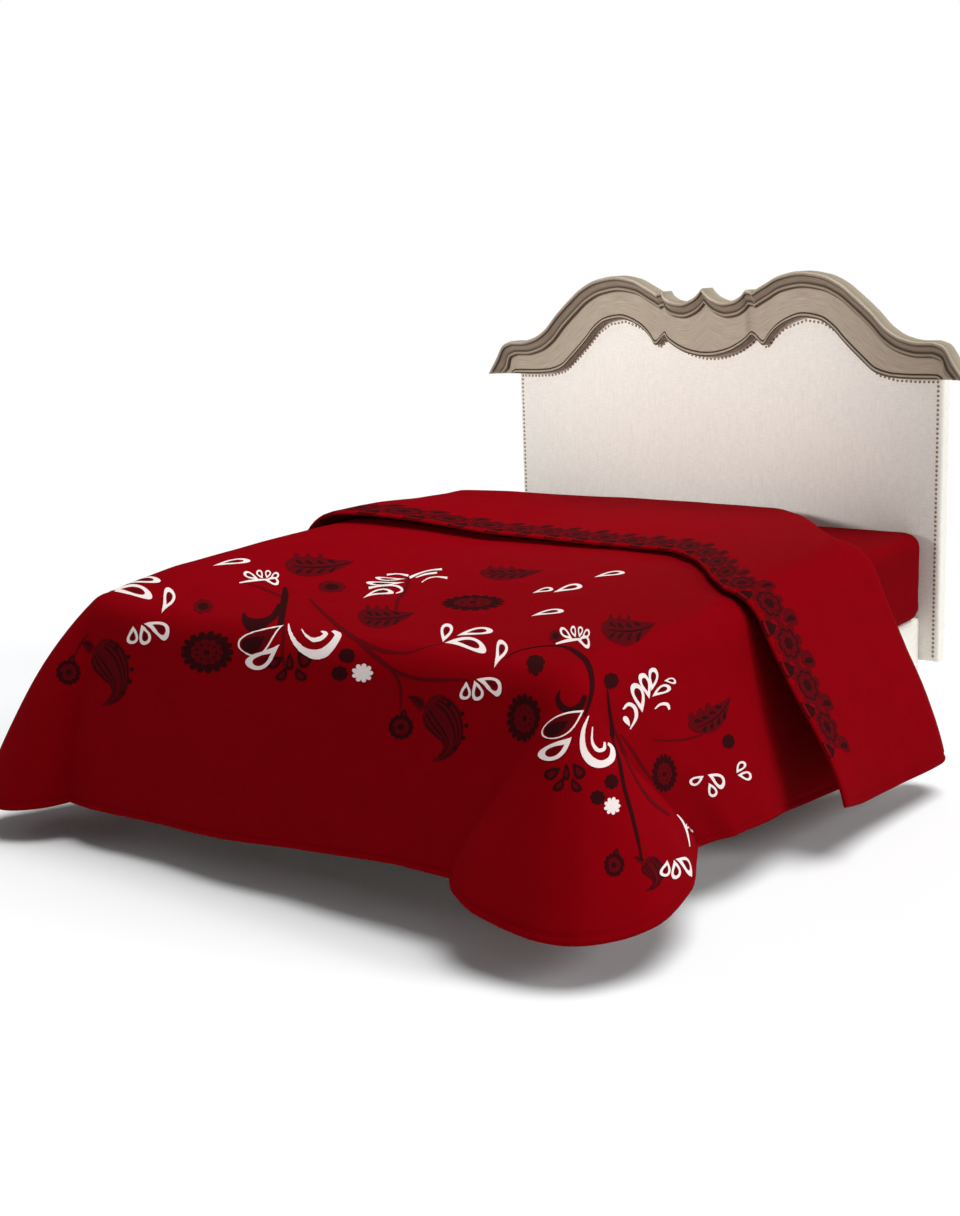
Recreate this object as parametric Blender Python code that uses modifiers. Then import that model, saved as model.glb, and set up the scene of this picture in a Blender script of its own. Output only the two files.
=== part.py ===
"""A quilt with its head end turned back, hanging over a bed: mattress, base, legs and headboard.

Metres, +Z up. The head is toward +Y, the foot toward -Y, and X runs across the bed. The origin is on
the floor, in the middle of the bed's centre leg.
"""
from collections import namedtuple
from math import cos, pi, radians, sin

import bmesh
import bpy
from mathutils import Vector

COLLECTION_NAME = "quilt_on_bed"

GAP = 0.0003

MATTRESS_WIDTH = 1.53
MATTRESS_LENGTH = 2.03
MATTRESS_TOP = 0.625
MATTRESS_THICKNESS = 0.28
MATTRESS_CORNER = 0.07
MATTRESS_EDGE = 0.045

BASE_WIDTH = 1.48
BASE_FOOT = -0.985
BASE_BOTTOM = 0.110
BASE_EDGE = 0.012
LEG_RADIUS_TOP = 0.034
LEG_RADIUS_FOOT = 0.026
LEG_SPREAD_X = 0.62
LEG_FOOT_Y = -0.86
LEG_HEAD_Y = 0.86

PANEL_FRONT = 1.035
PANEL_THICKNESS = 0.060
PANEL_BOTTOM = 0.200
PANEL_SIDE = 0.800
PANEL_EDGE = 0.012
STILE_WIDTH = 0.070
STILE_DEPTH = 0.040
STILE_TOP = 0.980
STILE_X = 0.640
BLOCK_PROUD = 0.012
BAND_DEPTH = 0.034

QUILT_THICKNESS = 0.012
EDGE_REACH = 0.012
EDGE_RADIUS = 0.080
EDGE_FALL = radians(74)
ARC_SHARE = 0.24
HEM_PLUMB = 0.25
CREST_WIDTH = 0.42
HEAD_RISE = 0.012
HEAD_RISE_START = 0.30
HEAD_RISE_LENGTH = 0.50

FOLD_REACH_AT_HEM = 0.30
FOLD_ROLL = 0.021
FOLD_ROLL_AT_HEM = 0.070
FLAP_LENGTH = 0.66
FLAP_LIFT = 0.026
FLAP_LIFT_LEFT = 0.044
FLAP_LIFT_AT_HEM = 0.150

COLUMNS_TOP = 16
COLUMNS_DROP = 8
ARC_STEPS = 3
ROWS_TOP = 18
ROWS_FAN = 18
ROWS_ROLL = 4
ROWS_FLAP = 9
NORMAL_STEP = 0.01

# How the quilt falls over one long side. at: place along the bed's edge. slide: how far the hem
# has moved toward the head from there. out: how far the hem stands out from the mattress.
# height: the hem above the floor. crest: how high the cloth puffs up over the edge.
SideFold = namedtuple("SideFold", "at slide out height crest")
RIGHT_FOLDS = (
    SideFold(-0.982, 0.317, 0.118, 0.146, 0.000),
    SideFold(-0.900, 0.285, 0.135, 0.148, 0.002),
    SideFold(-0.760, 0.215, 0.165, 0.148, 0.005),
    SideFold(-0.560, 0.140, 0.172, 0.140, 0.008),
    SideFold(-0.330, 0.060, 0.150, 0.118, 0.010),
    SideFold(-0.100, 0.010, 0.138, 0.092, 0.012),
    SideFold(0.150, 0.000, 0.155, 0.078, 0.014),
    SideFold(0.350, 0.010, 0.175, 0.068, 0.014),
    SideFold(0.560, 0.010, 0.180, 0.066, 0.012),
    SideFold(0.800, 0.010, 0.180, 0.066, 0.010),
)
LEFT_FOLDS = (
    SideFold(-0.982, 0.090, 0.240, 0.130, 0.022),
    SideFold(-0.880, 0.070, 0.215, 0.135, 0.038),
    SideFold(-0.700, 0.030, 0.180, 0.130, 0.060),
    SideFold(-0.450, 0.000, 0.200, 0.118, 0.070),
    SideFold(-0.200, 0.000, 0.165, 0.124, 0.074),
    SideFold(0.080, 0.000, 0.185, 0.110, 0.076),
    SideFold(0.350, 0.000, 0.165, 0.104, 0.062),
    SideFold(0.560, 0.000, 0.170, 0.098, 0.050),
    SideFold(0.800, 0.000, 0.170, 0.098, 0.036),
)
# How it falls over the foot. The columns are those above, with slide toward +X.
FOOT_FOLDS = (
    SideFold(-0.732, -0.058, 0.135, 0.108, 0.006),
    SideFold(-0.640, -0.030, 0.150, 0.110, 0.004),
    SideFold(-0.420, -0.015, 0.140, 0.112, 0.004),
    SideFold(-0.180, -0.010, 0.152, 0.122, 0.006),
    SideFold(0.080, -0.020, 0.142, 0.140, 0.006),
    SideFold(0.320, -0.080, 0.148, 0.156, 0.004),
    SideFold(0.560, -0.148, 0.146, 0.166, 0.000),
    SideFold(0.732, -0.189, 0.150, 0.166, 0.000),
)
# The fan of cloth at a corner. turn: degrees round from the foot to the side. across and beyond:
# where the hem hangs, outward from the mattress's side and from its foot. height: above the floor.
# fall: how steeply the cloth leaves the bed's edge, in degrees below level.
CornerFold = namedtuple("CornerFold", "turn across beyond height fall")
RIGHT_CORNER = (
    CornerFold(0, -0.222, 0.150, 0.166, 74),
    CornerFold(8, -0.180, 0.196, 0.156, 72),
    CornerFold(20, -0.085, 0.230, 0.134, 68),
    CornerFold(34, 0.028, 0.234, 0.116, 66),
    CornerFold(47, 0.132, 0.200, 0.105, 66),
    CornerFold(58, 0.200, 0.122, 0.105, 66),
    CornerFold(68, 0.238, 0.000, 0.114, 68),
    CornerFold(78, 0.218, -0.145, 0.127, 70),
    CornerFold(86, 0.160, -0.270, 0.140, 73),
    CornerFold(90, 0.118, -0.350, 0.146, 74),
)
LEFT_CORNER = (
    CornerFold(0, 0.025, 0.135, 0.108, 74),
    CornerFold(14, 0.080, 0.200, 0.098, 64),
    CornerFold(30, 0.185, 0.245, 0.090, 50),
    CornerFold(46, 0.290, 0.228, 0.090, 42),
    CornerFold(62, 0.345, 0.130, 0.100, 44),
    CornerFold(78, 0.300, 0.010, 0.118, 58),
    CornerFold(90, 0.240, -0.123, 0.130, 74),
)
# The line along which the head end is folded back. out: distance from the bed's middle.
# right and left: how far toward the head the fold lies on either half.
FoldLine = namedtuple("FoldLine", "out right left")
FOLD_LINE = (
    FoldLine(0.00, 0.915, 0.915),
    FoldLine(0.28, 0.900, 0.910),
    FoldLine(0.40, 0.825, 0.870),
    FoldLine(0.52, 0.690, 0.780),
    FoldLine(0.64, 0.530, 0.670),
    FoldLine(0.76, 0.410, 0.590),
    FoldLine(0.90, 0.370, 0.560),
)

# The carved rail on top of the headboard. top_x and top: its upper edge. under_x and under: the
# matching point of its lower edge.
RailSection = namedtuple("RailSection", "top_x top under_x under")
ARCH = (
    RailSection(0.1763, 1.374, 0.1763, 1.224),
    RailSection(0.200, 1.388, 0.203, 1.202),
    RailSection(0.225, 1.401, 0.226, 1.230),
    RailSection(0.275, 1.425, 0.264, 1.264),
    RailSection(0.345, 1.437, 0.340, 1.291),
    RailSection(0.420, 1.426, 0.400, 1.282),
    RailSection(0.480, 1.400, 0.445, 1.254),
    RailSection(0.530, 1.362, 0.485, 1.212),
    RailSection(0.590, 1.309, 0.540, 1.160),
    RailSection(0.640, 1.258, 0.592, 1.118),
    RailSection(0.690, 1.229, 0.650, 1.103),
    RailSection(0.745, 1.217, 0.725, 1.100),
    RailSection(0.795, 1.217, 0.810, 1.100),
    RailSection(0.822, 1.205, 0.893, 1.100),
)
BLOCK = (
    RailSection(0.000, 1.390, 0.000, 1.165),
    RailSection(0.016, 1.372, 0.022, 1.166),
    RailSection(0.040, 1.356, 0.048, 1.170),
    RailSection(0.078, 1.345, 0.085, 1.180),
    RailSection(0.115, 1.350, 0.120, 1.197),
    RailSection(0.145, 1.366, 0.148, 1.216),
    RailSection(0.158, 1.382, 0.164, 1.232),
    RailSection(0.176, 1.378, 0.176, 1.224),
)
# The rail's moulding, from its upper edge down. down: below the edge. depth: in front of the back.
Moulding = namedtuple("Moulding", "down depth")
RAIL_MOULDING = (
    Moulding(0.000, 0.066),
    Moulding(0.013, 0.070),
    Moulding(0.018, 0.056),
    Moulding(0.040, 0.044),
    Moulding(0.050, 0.048),
    Moulding(0.058, BAND_DEPTH),
)

RED = (0.205, 0.0012, 0.0030)
SHEET_RED = (0.180, 0.0012, 0.0028)
IVORY = (0.76, 0.73, 0.66)
DRIFTWOOD = (0.27, 0.22, 0.165)
DARK_WOOD = (0.045, 0.028, 0.018)

HALF_TOP = MATTRESS_WIDTH / 2 - MATTRESS_EDGE + EDGE_REACH
FOOT_TOP = MATTRESS_LENGTH / 2 - MATTRESS_EDGE + EDGE_REACH
QUILT_TOP = MATTRESS_TOP + GAP + QUILT_THICKNESS / 2
MATTRESS_BOTTOM = MATTRESS_TOP - MATTRESS_THICKNESS


def clear_scene():
    for item in list(bpy.data.objects):
        bpy.data.objects.remove(item, do_unlink=True)


def part_collection():
    collection = bpy.data.collections.new(COLLECTION_NAME)
    bpy.context.scene.collection.children.link(collection)
    return collection


def finish(name, colour, roughness):
    material = bpy.data.materials.new(name)
    material.use_nodes = True
    shader = material.node_tree.nodes["Principled BSDF"]
    shader.inputs["Base Color"].default_value = (*colour, 1.0)
    shader.inputs["Roughness"].default_value = roughness
    shader.inputs["Metallic"].default_value = 0.0
    return material


def add_object(collection, name, mesh, material):
    mesh.materials.append(material)
    item = bpy.data.objects.new(name, mesh)
    collection.objects.link(item)
    return item


def mesh_from(name, points, faces):
    mesh = bpy.data.meshes.new(name)
    mesh.from_pydata(points, [], faces)
    mesh.update()
    return mesh


def mesh_from_bmesh(name, shape):
    mesh = bpy.data.meshes.new(name)
    shape.to_mesh(mesh)
    shape.free()
    return mesh


def ease(value):
    value = min(max(value, 0.0), 1.0)
    return value * value * (3.0 - 2.0 * value)


def slope(rows, index, column):
    """The slope of one column at a row, flat where the column turns back."""
    if index in (0, len(rows) - 1):
        near = rows[1] if index == 0 else rows[-2]
        here = rows[index]
        return (near[column] - here[column]) / (near[0] - here[0])
    before, here, after = rows[index - 1], rows[index], rows[index + 1]
    rise_in = (here[column] - before[column]) / (here[0] - before[0])
    rise_out = (after[column] - here[column]) / (after[0] - here[0])
    if rise_in * rise_out <= 0.0:
        return 0.0
    return 2.0 * rise_in * rise_out / (rise_in + rise_out)


def read_table(rows, place):
    """Every column of a table, on a smooth curve through its rows, at a place of the first."""
    place = min(max(place, rows[0][0]), rows[-1][0])
    last = len(rows) - 2
    index = next((i for i in range(last + 1) if place <= rows[i + 1][0]), last)
    here, after = rows[index], rows[index + 1]
    span = after[0] - here[0]
    t = (place - here[0]) / span
    values = [place]
    for column in range(1, len(here)):
        start, end = slope(rows, index, column) * span, slope(rows, index + 1, column) * span
        change = after[column] - here[column]
        bend = 3.0 * change - 2.0 * start - end
        turn = start + end - 2.0 * change
        values.append(here[column] + t * (start + t * (bend + t * turn)))
    return type(here)(*values)


def hang(edge, outward, hem, crest, share, fall=EDGE_FALL):
    """A point of the cloth between the bed's edge and the hem, at a share of the way down."""
    angle = fall * min(share / ARC_SHARE, 1.0)
    start = edge + outward * EDGE_RADIUS * sin(angle)
    start.z += crest - EDGE_RADIUS * (1.0 - cos(angle))
    if share <= ARC_SHARE:
        return start
    reach = (hem - start).length
    leave = (outward * cos(fall) - Vector((0.0, 0.0, sin(fall)))) * reach
    straight = hem - start
    arrive = straight.lerp(Vector((0.0, 0.0, -reach)), HEM_PLUMB)
    t = (share - ARC_SHARE) / (1.0 - ARC_SHARE)
    bend = 3.0 * straight - 2.0 * leave - arrive
    turn = leave + arrive - 2.0 * straight
    return start + t * (leave + t * (bend + t * turn))


def side_fold(side, along):
    return read_table(RIGHT_FOLDS if side > 0 else LEFT_FOLDS, along)


def crest_at(across, along):
    """How much the cloth on top is raised near the edges and toward the head."""
    right = side_fold(1, along).crest * ease(1.0 - (HALF_TOP - across) / CREST_WIDTH)
    left = side_fold(-1, along).crest * ease(1.0 - (HALF_TOP + across) / CREST_WIDTH)
    foot = read_table(FOOT_FOLDS, across).crest * ease(1.0 - (FOOT_TOP + along) / CREST_WIDTH)
    head = HEAD_RISE * ease((along - HEAD_RISE_START) / HEAD_RISE_LENGTH)
    return right + left + foot + head


def side_point(side, along, share):
    """A point of the cloth that hangs over a long side. side is 1 on the right and -1 on the left."""
    fold = side_fold(side, along)
    edge = Vector((side * HALF_TOP, along, QUILT_TOP))
    hem = Vector((side * (MATTRESS_WIDTH / 2 + fold.out), along + fold.slide, fold.height))
    crest = crest_at(side * HALF_TOP, along)
    return hang(edge, Vector((side, 0.0, 0.0)), hem, crest, share)


def foot_point(across, share):
    """A point of the cloth that hangs over the foot."""
    fold = read_table(FOOT_FOLDS, across)
    edge = Vector((across, -FOOT_TOP, QUILT_TOP))
    hem = Vector((across + fold.slide, -MATTRESS_LENGTH / 2 - fold.out, fold.height))
    return hang(edge, Vector((0.0, -1.0, 0.0)), hem, crest_at(across, -FOOT_TOP), share)


def corner_point(side, turn, share):
    """A point of the fan of cloth at a corner of the foot."""
    fold = read_table(RIGHT_CORNER if side > 0 else LEFT_CORNER, turn)
    edge = Vector((side * HALF_TOP, -FOOT_TOP, QUILT_TOP))
    angle = radians(turn)
    outward = Vector((side * sin(angle), -cos(angle), 0.0))
    hem = Vector((side * (MATTRESS_WIDTH / 2 + fold.across),
                  -MATTRESS_LENGTH / 2 - fold.beyond, fold.height))
    return hang(edge, outward, hem, crest_at(edge.x, edge.y), share, radians(fold.fall))


def lower_point(column, along):
    """A point of the lower layer. column runs from -2 at the left hem to 2 at the right hem."""
    if abs(column) > 1.0:
        return side_point(1 if column > 0.0 else -1, along, abs(column) - 1.0)
    across = column * HALF_TOP
    return Vector((across, along, QUILT_TOP + crest_at(across, along)))


def fold_at(column):
    """How far toward the head a column reaches before it is folded back."""
    past_edge = max(abs(column) - 1.0, 0.0)
    out = min(abs(column), 1.0) * HALF_TOP + past_edge * FOLD_REACH_AT_HEM
    line = read_table(FOLD_LINE, out)
    return line.right if column > 0.0 else line.left


def frame_at(column, along):
    """The cloth's direction toward the head, and its outer normal."""
    ahead = lower_point(column, along) - lower_point(column, along - NORMAL_STEP)
    left, right = max(column - NORMAL_STEP, -2.0), min(column + NORMAL_STEP, 2.0)
    across = lower_point(right, along) - lower_point(left, along)
    toward_head = ahead.normalized()
    return toward_head, across.cross(ahead).normalized()


def roll_radius(column):
    return FOLD_ROLL + (FOLD_ROLL_AT_HEM - FOLD_ROLL) * ease(abs(column) - 1.0)


def roll_point(column, share):
    """A point of the rounded fold at the head, from the lower layer up to the turned-back one."""
    along = fold_at(column)
    toward_head, outer = frame_at(column, along)
    radius = roll_radius(column)
    angle = pi * share
    start = lower_point(column, along)
    return start + toward_head * radius * sin(angle) + outer * radius * (1.0 - cos(angle))


def flap_point(column, share):
    """A point of the turned-back layer, from the fold at 0 to its hem at 1."""
    along = fold_at(column) - FLAP_LENGTH * share
    toward_head, outer = frame_at(column, along)
    lift = FLAP_LIFT
    if column < 0.0:
        lift += (FLAP_LIFT_LEFT - FLAP_LIFT) * ease(-column)
    lift += (FLAP_LIFT_AT_HEM - lift) * ease(abs(column) - 1.0)
    start = 2.0 * roll_radius(column)
    height = start + (lift - start) * ease(share)
    return lower_point(column, along) + outer * height


def drop_shares():
    """Shares of the way down at which the hanging cloth has its points, closer on the bend."""
    on_bend = [ARC_SHARE * step / ARC_STEPS for step in range(1, ARC_STEPS + 1)]
    below = COLUMNS_DROP - ARC_STEPS
    return on_bend + [ARC_SHARE + (1.0 - ARC_SHARE) * step / below for step in range(1, below + 1)]


def column_places():
    drops = drop_shares()
    left = [-1.0 - share for share in reversed(drops)]
    middle = [-1.0 + 2.0 * step / COLUMNS_TOP for step in range(COLUMNS_TOP + 1)]
    return left + middle + [1.0 + share for share in drops]


def quilt_sheet():
    """The middle of the quilt's thickness, as one open sheet of points and faces."""
    points, faces = [], []
    columns = column_places()
    width = len(columns)

    def add_row(make_point):
        points.extend(make_point(column) for column in columns)

    def row_place(row):
        return lambda column: lower_point(
            column, -FOOT_TOP + (fold_at(column) + FOOT_TOP) * row / ROWS_TOP)

    for row in range(ROWS_TOP + 1):
        add_row(row_place(row))
    for row in range(1, ROWS_ROLL + 1):
        add_row(lambda column, share=row / ROWS_ROLL: roll_point(column, share))
    for row in range(1, ROWS_FLAP + 1):
        add_row(lambda column, share=row / ROWS_FLAP: flap_point(column, share))
    for row in range(ROWS_TOP + ROWS_ROLL + ROWS_FLAP):
        for column in range(width - 1):
            corner = row * width + column
            faces.append((corner, corner + 1, corner + 1 + width, corner + width))

    first_top = COLUMNS_DROP
    last_top = COLUMNS_DROP + COLUMNS_TOP
    shares = drop_shares()
    corner_left = fan_strips(points, faces, -1, shares, first_top, range(first_top - 1, -1, -1))
    corner_right = fan_strips(points, faces, 1, shares, last_top, range(last_top + 1, width))
    previous = [first_top] + corner_left
    for column in range(first_top + 1, last_top):
        strip = [column]
        for share in shares:
            strip.append(len(points))
            points.append(foot_point(columns[column] * HALF_TOP, share))
        join_strips(faces, strip, previous)
        previous = strip
    join_strips(faces, [last_top] + corner_right, previous)
    return points, faces


def join_strips(faces, right, left):
    """Faces between two strips that run down from the bed's edge."""
    for step in range(len(right) - 1):
        loop = (right[step], left[step], left[step + 1], right[step + 1])
        faces.append(tuple(dict.fromkeys(loop)))


def fan_strips(points, faces, side, shares, apex, side_strip):
    """The fan of cloth round one corner. Returns its last strip, where the foot begins."""
    previous = [apex] + list(side_strip)
    for row in range(ROWS_FAN - 1, -1, -1):
        turn = 90.0 * row / ROWS_FAN
        strip = [apex]
        for share in shares:
            strip.append(len(points))
            points.append(corner_point(side, turn, share))
        if side > 0:
            join_strips(faces, previous, strip)
        else:
            join_strips(faces, strip, previous)
        previous = strip
    return previous[1:]


def make_quilt(collection):
    """One cut of cloth with its wadding: the sheet above, given its thickness."""
    points, faces = quilt_sheet()
    mesh = mesh_from("quilt", points, faces)
    mesh.shade_smooth()
    quilt = add_object(collection, "quilt", mesh, finish("red_quilt_cotton", RED, 0.85))
    thickness = quilt.modifiers.new("wadding", "SOLIDIFY")
    thickness.thickness = QUILT_THICKNESS
    thickness.offset = 0.0
    thickness.use_even_offset = True
    return quilt


def upright(edge):
    low, high = sorted(corner.co.z for corner in edge.verts)
    return high - low > 0.5 * MATTRESS_THICKNESS


def box(width, length, height, centre):
    shape = bmesh.new()
    bmesh.ops.create_cube(shape, size=1.0)
    bmesh.ops.scale(shape, vec=(width, length, height), verts=shape.verts)
    bmesh.ops.translate(shape, vec=centre, verts=shape.verts)
    return shape


def make_mattress(collection):
    """A plain mattress in its fitted sheet, with rounded corners and edges."""
    middle = MATTRESS_BOTTOM + MATTRESS_THICKNESS / 2
    shape = box(MATTRESS_WIDTH, MATTRESS_LENGTH, MATTRESS_THICKNESS, (0.0, 0.0, middle))
    corners = [edge for edge in shape.edges if upright(edge)]
    bmesh.ops.bevel(shape, geom=corners, offset=MATTRESS_CORNER, segments=4, profile=0.5,
                    affect="EDGES")
    rims = [edge for edge in shape.edges
            if abs(abs(edge.verts[0].co.z - middle) - MATTRESS_THICKNESS / 2) < GAP
            and abs(edge.verts[0].co.z - edge.verts[1].co.z) < GAP and edge.is_manifold]
    bmesh.ops.bevel(shape, geom=rims, offset=MATTRESS_EDGE, segments=3, profile=0.5,
                    affect="EDGES")
    mesh = mesh_from_bmesh("mattress", shape)
    mesh.shade_smooth()
    return add_object(collection, "mattress", mesh, finish("red_fitted_sheet", SHEET_RED, 0.85))


def make_base(collection):
    """The covered box under the mattress."""
    length = PANEL_FRONT - GAP - BASE_FOOT
    height = MATTRESS_BOTTOM - GAP - BASE_BOTTOM
    centre = (0.0, BASE_FOOT + length / 2, BASE_BOTTOM + height / 2)
    mesh = mesh_from_bmesh("base", box(BASE_WIDTH, length, height, centre))
    base = add_object(collection, "base", mesh, finish("ivory_linen", IVORY, 0.9))
    add_bevel(base, BASE_EDGE, 2)
    return base


def add_bevel(item, width, segments):
    bevel = item.modifiers.new("rounded_edges", "BEVEL")
    bevel.width = width
    bevel.segments = segments
    bevel.limit_method = "ANGLE"
    bevel.angle_limit = radians(40)


def make_leg(collection, name, across, along):
    """A short turned leg, narrower at the floor."""
    height = BASE_BOTTOM - GAP
    shape = bmesh.new()
    bmesh.ops.create_cone(shape, cap_ends=True, segments=20, radius1=LEG_RADIUS_FOOT,
                          radius2=LEG_RADIUS_TOP, depth=height)
    mesh = mesh_from_bmesh(name, shape)
    mesh.shade_smooth()
    mesh.set_sharp_from_angle(angle=radians(35))
    leg = add_object(collection, name, mesh, finish("dark_wood", DARK_WOOD, 0.5))
    leg.location = (across, along, height / 2)
    return leg


def rail_sections(rows, steps):
    """Sections of the rail between its table's rows, on smooth curves. rows run outward."""
    numbered = [namedtuple("Row", "number top_x top under_x under")(i, *row)
                for i, row in enumerate(rows)]
    count = (len(rows) - 1) * steps
    return [read_table(numbered, step / steps) for step in range(count + 1)]


def moulded_loop(section, proud):
    """The outline of one section of the rail, from the back of its top round to its underside."""
    back = PANEL_FRONT - GAP
    top = Vector((section.top_x, 0.0, section.top))
    under = Vector((section.under_x, 0.0, section.under))
    height = (under - top).length
    loop = [Vector((top.x, back, top.z))]
    for step in RAIL_MOULDING:
        point = top.lerp(under, step.down / height)
        loop.append(Vector((point.x, back - step.depth - proud, point.z)))
    loop.append(Vector((under.x, back - BAND_DEPTH - proud, under.z)))
    loop.append(Vector((under.x, back, under.z)))
    return loop


def loft(name, loops):
    """A closed solid through a row of outlines that have the same number of points."""
    shape = bmesh.new()
    rings = [[shape.verts.new(point) for point in loop] for loop in loops]
    size = len(loops[0])
    for here, after in zip(rings, rings[1:]):
        for index in range(size):
            following = (index + 1) % size
            shape.faces.new((here[index], here[following], after[following], after[index]))
    shape.faces.new(reversed(rings[0]))
    shape.faces.new(rings[-1])
    bmesh.ops.recalc_face_normals(shape, faces=shape.faces)
    return mesh_from_bmesh(name, shape)


def make_rails(collection):
    """The carved rail: an arch on either side of a centre block."""
    wood = finish("driftwood", DRIFTWOOD, 0.6)
    sections = rail_sections(ARCH, 2)
    for name, side in (("rail_right", 1), ("rail_left", -1)):
        loops = [moulded_loop(section, 0.0) for section in sections]
        for loop in loops:
            for point in loop:
                point.x *= side
        rail = loft(name, loops)
        rail.shade_smooth()
        rail.set_sharp_from_angle(angle=radians(30))
        add_object(collection, name, rail, wood)
    half = rail_sections(BLOCK, 2)
    right = [moulded_loop(section, BLOCK_PROUD) for section in half]
    left = [[Vector((-point.x, point.y, point.z)) for point in loop] for loop in right[:0:-1]]
    block = loft("rail_block", left + right)
    block.shade_smooth()
    block.set_sharp_from_angle(angle=radians(30))
    add_object(collection, "rail_block", block, wood)


def make_panel(collection):
    """The padded panel, whose arched top is hidden behind the middle of the rail."""
    middle = [(0.5 * (row.top_x + row.under_x), 0.5 * (row.top + row.under))
              for row in BLOCK[::3] + ARCH[1:-2]]
    right = [(across, up) for across, up in middle if across < PANEL_SIDE]
    right += [(PANEL_SIDE, right[-1][1]), (PANEL_SIDE, PANEL_BOTTOM)]
    left = [(-across, up) for across, up in reversed(right) if across > 0.0]
    shape = bmesh.new()
    front = [shape.verts.new((across, PANEL_FRONT, up)) for across, up in right + left]
    face = shape.faces.new(front)
    deep = bmesh.ops.extrude_face_region(shape, geom=[face])
    moved = [item for item in deep["geom"] if isinstance(item, bmesh.types.BMVert)]
    bmesh.ops.translate(shape, vec=(0.0, PANEL_THICKNESS, 0.0), verts=moved)
    bmesh.ops.recalc_face_normals(shape, faces=shape.faces)
    panel = add_object(collection, "headboard_panel", mesh_from_bmesh("headboard_panel", shape),
                       finish("ivory_linen_panel", IVORY, 0.9))
    add_bevel(panel, PANEL_EDGE, 2)
    return panel


def make_stile(collection, name, side):
    """An upright behind the panel, which stands on the floor."""
    centre = (side * STILE_X, PANEL_FRONT + PANEL_THICKNESS + GAP + STILE_DEPTH / 2, STILE_TOP / 2)
    mesh = mesh_from_bmesh(name, box(STILE_WIDTH, STILE_DEPTH, STILE_TOP, centre))
    return add_object(collection, name, mesh, finish("driftwood_stile", DRIFTWOOD, 0.6))


def main():
    clear_scene()
    collection = part_collection()
    make_mattress(collection)
    make_base(collection)
    make_leg(collection, "leg_centre", 0.0, 0.0)
    for end, along in (("foot", LEG_FOOT_Y), ("head", LEG_HEAD_Y)):
        for name, side in (("left", -1), ("right", 1)):
            make_leg(collection, f"leg_{end}_{name}", side * LEG_SPREAD_X, along)
    make_panel(collection)
    make_rails(collection)
    make_stile(collection, "stile_left", -1)
    make_stile(collection, "stile_right", 1)
    make_quilt(collection)


main()
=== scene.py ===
"""A quilt turned back over a bed: the printed cloth, the bed under it and a plain pale studio.

Metres, +Z up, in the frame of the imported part: the head is toward +Y, the foot toward -Y.
"""

from collections import namedtuple
from functools import lru_cache
from math import atan2, ceil, cos, degrees, floor, hypot, pi, radians, sin

import bmesh
import bpy
from mathutils import Matrix, Vector, noise
from mathutils.bvhtree import BVHTree
from mathutils.geometry import delaunay_2d_cdt


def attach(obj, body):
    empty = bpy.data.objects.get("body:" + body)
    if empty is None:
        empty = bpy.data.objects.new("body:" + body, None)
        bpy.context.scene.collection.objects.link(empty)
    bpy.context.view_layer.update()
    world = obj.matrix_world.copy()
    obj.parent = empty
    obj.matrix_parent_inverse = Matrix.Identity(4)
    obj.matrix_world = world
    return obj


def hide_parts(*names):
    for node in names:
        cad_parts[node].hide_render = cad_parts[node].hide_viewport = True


bl_info = {
    "name": "Quilt on a bed",
    "version": (1, 0, 0),
    "blender": (4, 5, 0),
    "location": "View3D > Sidebar > Quilt",
    "description": "Dresses a packed bed with a printed quilt, fitted sheet and carved headboard",
    "category": "Object",
}

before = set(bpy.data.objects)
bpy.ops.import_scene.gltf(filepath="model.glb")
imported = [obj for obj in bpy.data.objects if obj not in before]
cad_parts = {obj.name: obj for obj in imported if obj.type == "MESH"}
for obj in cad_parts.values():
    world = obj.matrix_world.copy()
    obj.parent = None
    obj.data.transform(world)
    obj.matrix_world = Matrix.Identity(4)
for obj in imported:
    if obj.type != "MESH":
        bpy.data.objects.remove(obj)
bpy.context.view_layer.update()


def table(kind, *rows):
    """The rows of a table, each with the named columns of its kind."""
    return tuple(kind(*row) for row in rows)


# Sizes of the bed and its quilt

GAP = 0.0003
MATTRESS_WIDTH = 1.53
MATTRESS_LENGTH = 2.03
MATTRESS_TOP = 0.625
MATTRESS_THICKNESS = 0.28
MATTRESS_CORNER = 0.07
MATTRESS_EDGE = 0.045

PANEL_FRONT = 1.035
PANEL_THICKNESS = 0.060
PANEL_BOTTOM = 0.200
PANEL_SIDE = 0.800
BLOCK_PROUD = 0.012
# How far from its ends the block stands wholly proud of the arches.
PROUD_REACH = 0.05

QUILT_THICKNESS = 0.012
# The cloth at the bed's edge: where its bend begins past the flat top, the bend's radius, steepness
# and share of the way down, and how plumb the cloth hangs at its hem.
EDGE_REACH = 0.012
EDGE_RADIUS = 0.080
EDGE_FALL = radians(74)
ARC_SHARE = 0.24
HEM_PLUMB = 0.25
# How broad the raised edges are, and how the cloth rises toward the head.
CREST_WIDTH = 0.42
HEAD_RISE = 0.012
HEAD_RISE_START = 0.30
HEAD_RISE_LENGTH = 0.50
# The head end, folded back: how much further out its line is read at the hem, the radius of its
# roll, its length, and how high it lies over the lower layer.
FOLD_REACH_AT_HEM = 0.30
FOLD_ROLL = 0.021
FOLD_ROLL_AT_HEM = 0.070
FLAP_LENGTH = 0.66
FLAP_LIFT = 0.026
FLAP_LIFT_LEFT = 0.044
FLAP_LIFT_AT_HEM = 0.150
# The net of points, and how far apart its directions are read.
COLUMNS_TOP = 88
ARC_STEPS = 8
DROP_STEPS = 32
ROWS_TOP = 104
ROWS_FAN = 54
ROWS_ROLL = 8
ROWS_FLAP = 38
NORMAL_STEP = 0.01
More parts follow.
